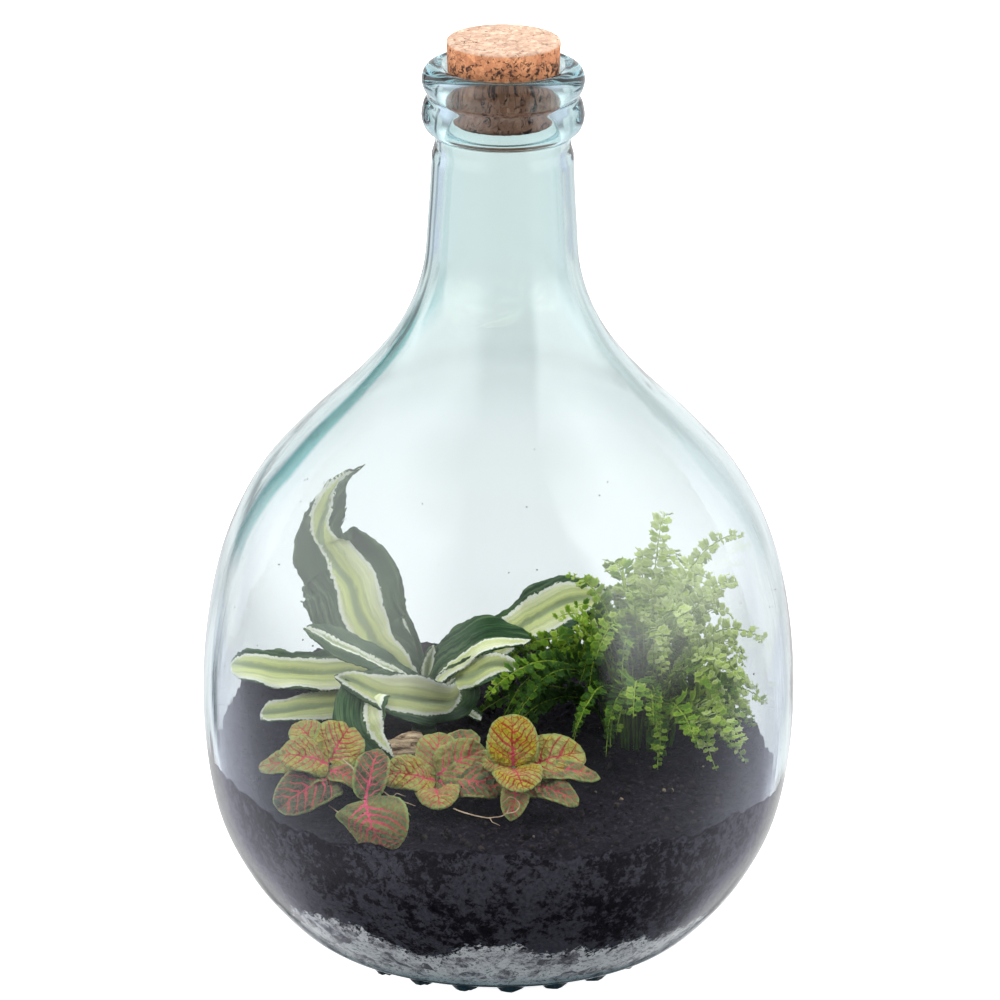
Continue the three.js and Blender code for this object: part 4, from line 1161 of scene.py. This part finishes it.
def frond(number, row, material, rng):
    """A frond and the smaller sprays that stand close beside it."""
    *tip, ring, lift, width = row
    heading, curve = frond_curve(tip, ring, lift)
    shape = Shape()
    # Fronds reaching right are painted paler, a painted haze of reflection over the fern's right side, on top
    # of each frond's random tone
    tone_and_haze = rng.uniform(0.26, 0.51) + 0.34 * float(smoothstep(tip[0], 40, 75))
    tone_and_haze += 0.12 * float(smoothstep(tip[0], 78, 98))
    spray(shape, heading, curve, FROND_BARE, width * 0.80, 0.75, rng, tone_and_haze)
    across = np.array([heading[1], -heading[0], 0])
    for k in range(SIDE_SPRAYS[ring]):
        s = 1 - 2 * (k % 2)
        short = rng.uniform(0.68, 0.92)
        points = [
            curve[0] + across * s * 0.8,
            curve[1] + across * s * rng.uniform(1, 3),
            curve[2] + across * s * rng.uniform(3, 6) - UP * rng.uniform(0, 6),
            curve[0] + (curve[3] - curve[0]) * short + across * s * rng.uniform(5, 11),
        ]
        points[3] = points[3] - UP * rng.uniform(0, 4 + 5 * (k > 1))
        bare, narrow = rng.uniform(0.22, 0.4), rng.uniform(0.5, 0.62)
        spray(shape, heading, points, bare, width * narrow, 0.5, rng, tone_and_haze + rng.uniform(-0.15, 0.1))
    name = "fern_frond_%02d" % (number + 1)
    shape.piece(name + "_leaflets", material, [name])


# The nerve plant, stem by stem: each leaf's base, tip, facing, width and freshness
NERVE_STEMS = {
    "left": ([(-67, -52, 82), (-65, -50, 90)], [
        ((-65, -50, 90), (-57, -36, 100), (0.2, -1, 0.7), 20, 0.75),
        ((-65, -51, 89), (-83, -57, 95), (0, -0.7, 1), 17, 0.7),
        ((-66, -50, 90), (-78, -37, 101), (0.1, -0.8, 0.8), 15, 0.7),
        ((-66, -51, 88), (-91, -48, 87), (0, -0.7, 1), 12, 0.6),
        ((-67, -52, 86), (-81, -64, 82), (0, -0.4, 1), 12, 0.3),
        ((-62, -54, 85), (-83, -71, 78), (0, -0.7, 0.9), 20, 0.12),
        ((-66, -52, 87), (-52, -60, 84), (0, -0.5, 1), 10, 0.3),
    ]),
    "front": ([(-50, -78, 82), (-50, -87, 87)], [
        ((-50, -86, 88), (-44, -105, 72), (0, -1, 0.3), 29, 0.3),
        ((-50, -81, 86), (-46, -60, 99), (0.1, -0.5, 1), 13, 0.08),
    ]),
    "middle": ([(-24, -56, 80), (-23, -54, 86)], [
        ((-23, -54, 86), (-23, -39, 98), (0, -1, 0.7), 17, 0.5),
        ((-24, -55, 84), (-45, -62, 89), (0, -0.8, 1), 16, 0.75),
        ((-23, -54, 86), (-5, -45, 94), (0, -0.9, 0.8), 17, 0.5),
        ((-23, -55, 84), (2, -60, 82), (0, -0.6, 1), 18, 0.2),
        ((-24, -56, 82), (-22, -74, 80), (0, -0.6, 1), 17, 0.6),
        ((-23, -53, 86), (-9, -33, 96), (0, -0.6, 1), 14, 0.2),
    ]),
    "right": ([(8, -58, 82), (6, -56, 91)], [
        ((6, -56, 91), (5, -43, 107), (0, -1, 0.45), 20, 1.0),
        ((6, -56, 90), (-6, -55, 92), (0, -0.8, 1), 8, 0.8),
        ((6, -56, 90), (16, -49, 94), (0, -0.8, 1), 8, 0.8),
        ((6, -57, 90), (10, -73, 87), (0, -0.5, 1), 19, 0.9),
        ((6, -56, 88), (33, -45, 93), (0, -0.9, 0.8), 20, 0.85),
        ((7, -57, 88), (39, -55, 86), (0.9, -0.3, 0.8), 11, 0.35),
        ((8, -58, 84), (31, -67, 80), (0, -0.5, 1), 13, 0.3),
        ((8, -58, 84), (5, -75, 76), (0, -0.6, 1), 11, 0.4),
    ]),
}
NERVE_ROWS = 34
NERVE_COLUMNS = 25
NERVE_STATIONS = (0, 0.28, 0.62, 1)
NERVE_FOLD = 0.17
NERVE_THICKNESS = 0.45
NERVE_BOW = 0.14
NERVE_STEM_RADIUS = 0.99
SIDE_VEINS = 6
# The side veins' distance, square to them, as a share of their spacing along the leaf
VEIN_SLANT = 0.78


def nerve_leaf(shape, start, tip, face, width, fresh, rng):
    """One oval leaf, puffed up between its midrib and side veins."""
    start, tip = np.array(start, float), np.array(tip, float)
    size = np.linalg.norm(tip - start)
    bow = unit(np.array(face, float)) * size * NERVE_BOW
    stations = [start + (tip - start) * share + bow * math.sin(math.pi * share) for share in NERVE_STATIONS]
    t = np.linspace(0, 1, NERVE_ROWS)
    point, side, up = blade_frame(stations, t, face, np.zeros(NERVE_ROWS))
    oval = np.sqrt(np.clip(1 - np.abs(2 * t**0.88 - 1) ** 2.25, 0, 1))
    half = np.maximum(width / 2 * oval, 0.12)[:, None]
    u = np.linspace(-1, 1, NERVE_COLUMNS)
    far = np.abs(u)[None]
    reach = half * u * (1 + 0.022 * np.abs(np.sin(t * size * 1.5 + 0.4))[:, None] * (far > 0.88))
    y = (t * size)[:, None]
    sway = 0.5 * np.sin(y * 0.5 + rng.uniform(0, 6))
    sway = sway + 0.35 * np.sin(reach * 1.3 + y * 0.9 + rng.uniform(0, 6))
    spacing = size * 0.84 / SIDE_VEINS
    phase = (y - np.abs(reach) * 0.60 - reach**2 / max(width, 1) * 0.7 + 0.8 * sway) / spacing
    phase = phase + np.where(reach > 0, 0.42, 0.0)
    nearest = np.round(phase)
    pitch = spacing * VEIN_SLANT
    lateral = np.abs(phase - nearest) * pitch + np.where((nearest < 0.5) | (nearest > SIDE_VEINS), 3.0, 0.0)
    rib = reach + 0.15 * sway
    taper = np.interp(t, [0, 0.3, 1], [0.60, 0.38, 0.05])[:, None]
    rim = np.minimum((1 - far) * half, (1 - t)[:, None] * size)
    vein = np.minimum(np.abs(rib) - taper, lateral)
    puff = 0.62 * (1 - np.exp(-(np.maximum(vein, 0) / 1.1) ** 2)) * smoothstep(rim, 0, 2)
    waves = 0.6 * np.sin(t * 9 + rng.uniform(0, 6))[:, None] * far**2 - 0.5 * smoothstep(far, 0.75, 1)
    waves = waves + 0.35 * np.sin(reach * 1.1 + rng.uniform(0, 6)) * np.sin(y * 0.8 + rng.uniform(0, 6))
    p = blade(point, side, up, reach, NERVE_FOLD * np.abs(reach) + puff + waves)
    p[1:] = kept_clear(p[1:], 1.0, 1.0)
    tone = np.clip(fresh + 0.10 * np.sin(y * 0.6 + reach * 0.4) - 0.1 * rng.uniform(), 0, 1)
    heart = np.clip(1 - y / size - 0.35 * far, 0, 1)
    thick_sheet(
        shape, p, NERVE_THICKNESS, across=reach + rng.uniform(50, 900), run=y, rib=rib, taper=taper,
        phase=phase, pitch=pitch, rim=rim, heart=heart, tone=tone,
    )


def nerve_plant(name, route, leaves, material, rng):
    shape = Shape()
    x, y = route[0][:2]
    path = spline([(x, y, float(soil_height(x, y)) - STEM_DEPTH), *route], np.linspace(0, 1, 24))
    tube(shape, path, NERVE_STEM_RADIUS, 10, rib=2, taper=0, phase=-1, pitch=1, rim=3, heart=0.3, tone=0.3)
    for leaf in leaves:
        nerve_leaf(shape, *leaf, rng)
    node = "nerve_plant_" + name
    shape.piece(node + "_leaves", material, [node])


# The stage, the lights and the camera

FLOOR_HALF = 6.0


def floor():
    mesh = bpy.data.meshes.new("studio_floor")
    corners = [(x * FLOOR_HALF, y * FLOOR_HALF, 0) for x, y in ((-1, -1), (1, -1), (1, 1), (-1, 1))]
    mesh.from_pydata(corners, [], [(0, 1, 2, 3)])
    mesh.materials.append(Finish("studio_floor").done({
        "Base Color": (0.93, 0.93, 0.93), "Roughness": 1, "Specular IOR Level": 0,
        "Emission Color": (1.0, 1.0, 1.0), "Emission Strength": 0.8,
    }))
    obj = placed("studio_floor", mesh)
    obj.visible_glossy = False
    obj.visible_transmission = False


# Each softbox: its place, its side in metres and its power in watts
SOFTBOXES = {
    "left_softbox": ((-1.7, -0.9, 1.5), 1.4, 44),
    "right_softbox": ((1.8, -0.3, 1.3), 1.4, 36),
    "top_softbox": ((0.2, 0.9, 2.0), 1.6, 40),
}
SOFTBOX_TARGET = (0, 0, 0.12)


def turn_towards(place, target):
    return (Vector(target) - Vector(place)).to_track_quat("-Z", "Y")


def softbox(name, place, side, power):
    light = bpy.data.lights.new(name, "AREA")
    light.shape = "RECTANGLE"
    light.size = light.size_y = side
    light.energy = power
    obj = placed(name, light)
    obj.location = place
    obj.rotation_euler = turn_towards(place, SOFTBOX_TARGET).to_euler()
    obj.visible_camera = False
    obj.visible_glossy = False
    obj.visible_transmission = False


# What the glass mirrors: softboxes left and right, a dim lilac room below, and a dark gap behind the camera.
# Azimuths run in degrees from the camera's side, towards +X when positive, and elevations from the horizon.
BOXES_ROUND = [
    (-180, 0.80), (-163, 0.85), (-140, 1.1), (-117, 2.1), (-60, 2.4), (-38, 2.0), (-24, 0.8), (-9, 0.02),
    (40, 0.02), (52, 2.5), (95, 2.5), (132, 1.2), (160, 0.95), (180, 0.85),
]
BOXES_UP = [(-90, 0.0), (-16, 0.0), (-8, 0.12), (-2, 0.5), (8, 1.0), (52, 1.0), (70, 0.25), (90, 0.15)]
ROOM_ROUND = [
    (-180, 0.75), (-162, 0.95), (-147, 1.25), (-136, 1.1), (-121, 1.15), (-101, 0.72), (-60, 0.36), (0, 0.11),
    (50, 0.16), (83, 0.33), (100, 0.6), (112, 0.85), (132, 0.85), (146, 1.05), (164, 1.05), (180, 0.9),
]
ROOM_UP = [(-90, 0.0), (-60, 0.02), (-50, 0.3), (-40, 1.0), (-17, 1.0), (-5, 0.0), (90, 0.0)]
ROOM_LILAC = (0.94, 0.95, 1.09)
ROOM_NEUTRAL = (0.98, 0.99, 1.0)
ROOM_HUES = [
    (-180, ROOM_NEUTRAL), (-156, ROOM_NEUTRAL), (-142, ROOM_LILAC), (142, ROOM_LILAC), (154, ROOM_NEUTRAL),
    (180, ROOM_NEUTRAL),
]
# A pale ceiling, and pale screens behind the bottle on both sides, level with the horizon
CEILING_UP = [(-90, 0.0), (26, 0.0), (44, 0.55), (90, 0.55)]
SCREENS_ROUND = [(-180, 1.0), (-150, 1.0), (-130, 0.95), (-118, 0.0), (118, 0.0), (128, 1.0), (180, 1.1)]
SCREENS_UP = [(-90, 0.0), (-19, 0.0), (-13, 1.0), (10, 1.0), (22, 0.0), (90, 0.0)]
# Dark strips behind the bottle on both sides, which draw its contour, and a dark patch beside the left one
STRIPS_ROUND = [
    (-152, 0.0), (-149, 1.0), (-144, 1.0), (-141, 0.0), (143, 0.0), (148, 0.3), (153, 0.3), (158, 0.0),
]
STRIPS_UP = [
    (-23, 0.0), (-20, 0.9), (-17, 0.9), (-15, 0.5), (-12, 0.5), (-7, 0.8), (10, 0.9), (16, 0.3), (90, 0.2),
]
STRIP_COLOUR = (0.035, 0.05, 0.06)
CORNER_ROUND = [(-165, 0.0), (-161, 1.0), (-150, 1.0), (-147, 0.0)]
CORNER_UP = [(-9, 0.0), (-6, 0.6), (-3, 0.6), (-1, 0.0)]
# The dark ground behind the bottle, which draws the line of its heel
GROUND_ROUND = [(-180, 1.0), (-166, 1.0), (-157, 0.0), (157, 0.0), (166, 1.0), (180, 1.0)]
GROUND_UP = [(-90, 1.0), (-34, 1.0), (-27, 0.0), (90, 0.0)]
# What the glass lets through: a bright backdrop under a dark ceiling and over a dark foot
BACKDROP_UP = [(-90, 0.01), (-58, 0.01), (-47, 0.9), (-38, 1.08), (60, 1.08), (72, 0.6), (90, 0.6)]
# What lights the plants and the filling, and what lights the floor and the cork
AMBIENT_UP = [(-90, 1.15), (-40, 1.0), (-20, 0.40), (90, 0.40)]
OPEN_AMBIENT = (1.0, 1.0, 1.0)


def world():
    """A studio that differs by what looks at it: the mirrored one, the one behind the glass and the light."""
    made = bpy.data.worlds.new("studio")
    bpy.context.scene.world = made
    made.use_nodes = True
    made.cycles.sampling_method = "NONE"
    n = Nodes(made.node_tree)
    x, y, z = n.axes(n.add("TexCoord", output="Generated"))
    azimuth = n.between(n.math("ARCTAN2", x, n.times(y, -1.0)), -math.pi, math.pi)
    elevation = n.between(n.math("ARCSINE", z), -math.pi / 2, math.pi / 2)

    def around(stops):
        return n.ramp(azimuth, [(0.5 + angle / 360, value) for angle, value in stops])

    def upward(stops):
        return n.ramp(elevation, [(0.5 + angle / 180, value) for angle, value in stops])

    def patch(azimuths, elevations):
        return n.tinted(around(azimuths), upward(elevations))

    room = n.tinted(patch(ROOM_ROUND, ROOM_UP), around(ROOM_HUES))
    mirrored = n.mix(1.0, patch(BOXES_ROUND, BOXES_UP), room, "ADD")
    screens = n.math("MAXIMUM", patch(SCREENS_ROUND, SCREENS_UP), upward(CEILING_UP))
    mirrored = n.mix(1.0, mirrored, screens, "LIGHTEN")
    dark = n.math("MAXIMUM", patch(STRIPS_ROUND, STRIPS_UP), patch(CORNER_ROUND, CORNER_UP))
    dark = n.math("MAXIMUM", dark, patch(GROUND_ROUND, GROUND_UP))
    mirrored = n.mix(dark, mirrored, STRIP_COLOUR)
    path = n.add("LightPath").node.outputs
    glossy, diffuse, inside = (
        n.math("MINIMUM", path[kind + " Depth"], 1.0) for kind in ("Glossy", "Diffuse", "Transmission")
    )
    colour = n.mix(glossy, upward(BACKDROP_UP), mirrored)
    colour = n.mix(diffuse, colour, n.mix(inside, OPEN_AMBIENT, upward(AMBIENT_UP)))
    colour = n.mix(path["Is Camera Ray"], colour, (1.0, 1.0, 1.0))
    out = n.tree.nodes.new("ShaderNodeOutputWorld")
    n.put(out.inputs["Surface"], n.add("Background", {"Color": colour}))


# The camera's place, the point that it is turned to, its focal length in picture widths and its slight roll
CAMERA_PLACE = (0, -3.6, 1.406)
CAMERA_TARGET = (0, 0, 0.18)
CAMERA_FOCUS = 9.8
CAMERA_ROLL = 0.00802


def camera():
    data = bpy.data.cameras.new("camera")
    data.sensor_width = 36
    data.lens = CAMERA_FOCUS * data.sensor_width
    data.clip_start, data.clip_end = 0.1, 40
    obj = placed("camera", data)
    obj.location = CAMERA_PLACE
    obj.rotation_mode = "QUATERNION"
    obj.rotation_quaternion = turn_towards(CAMERA_PLACE, CAMERA_TARGET) @ Quaternion((0, 0, 1), CAMERA_ROLL)
    bpy.context.scene.camera = obj


def build():
    camera()
    world()
    floor()
    glass_bottle()
    cork()
    soil()
    crumbs(np.random.default_rng(5))
    gravel(np.random.default_rng(6))
    bark()
    roots()
    glass_specks(np.random.default_rng(10))
    dracaena()
    fern = fern_material()
    rng = np.random.default_rng(7)
    for number, row in enumerate(FRONDS):
        frond(number, row, fern, rng)
    nerve = nerve_material()
    rng = np.random.default_rng(8)
    for name, (route, leaves) in NERVE_STEMS.items():
        nerve_plant(name, route, leaves, nerve, rng)
    for name, row in SOFTBOXES.items():
        softbox(name, *row)
    scene = bpy.context.scene
    scene.view_settings.view_transform = "Standard"
    scene.cycles.max_bounces = 24
    scene.cycles.transmission_bounces = 20
    scene.cycles.glossy_bounces = 8
    scene.cycles.transparent_max_bounces = 24


build()
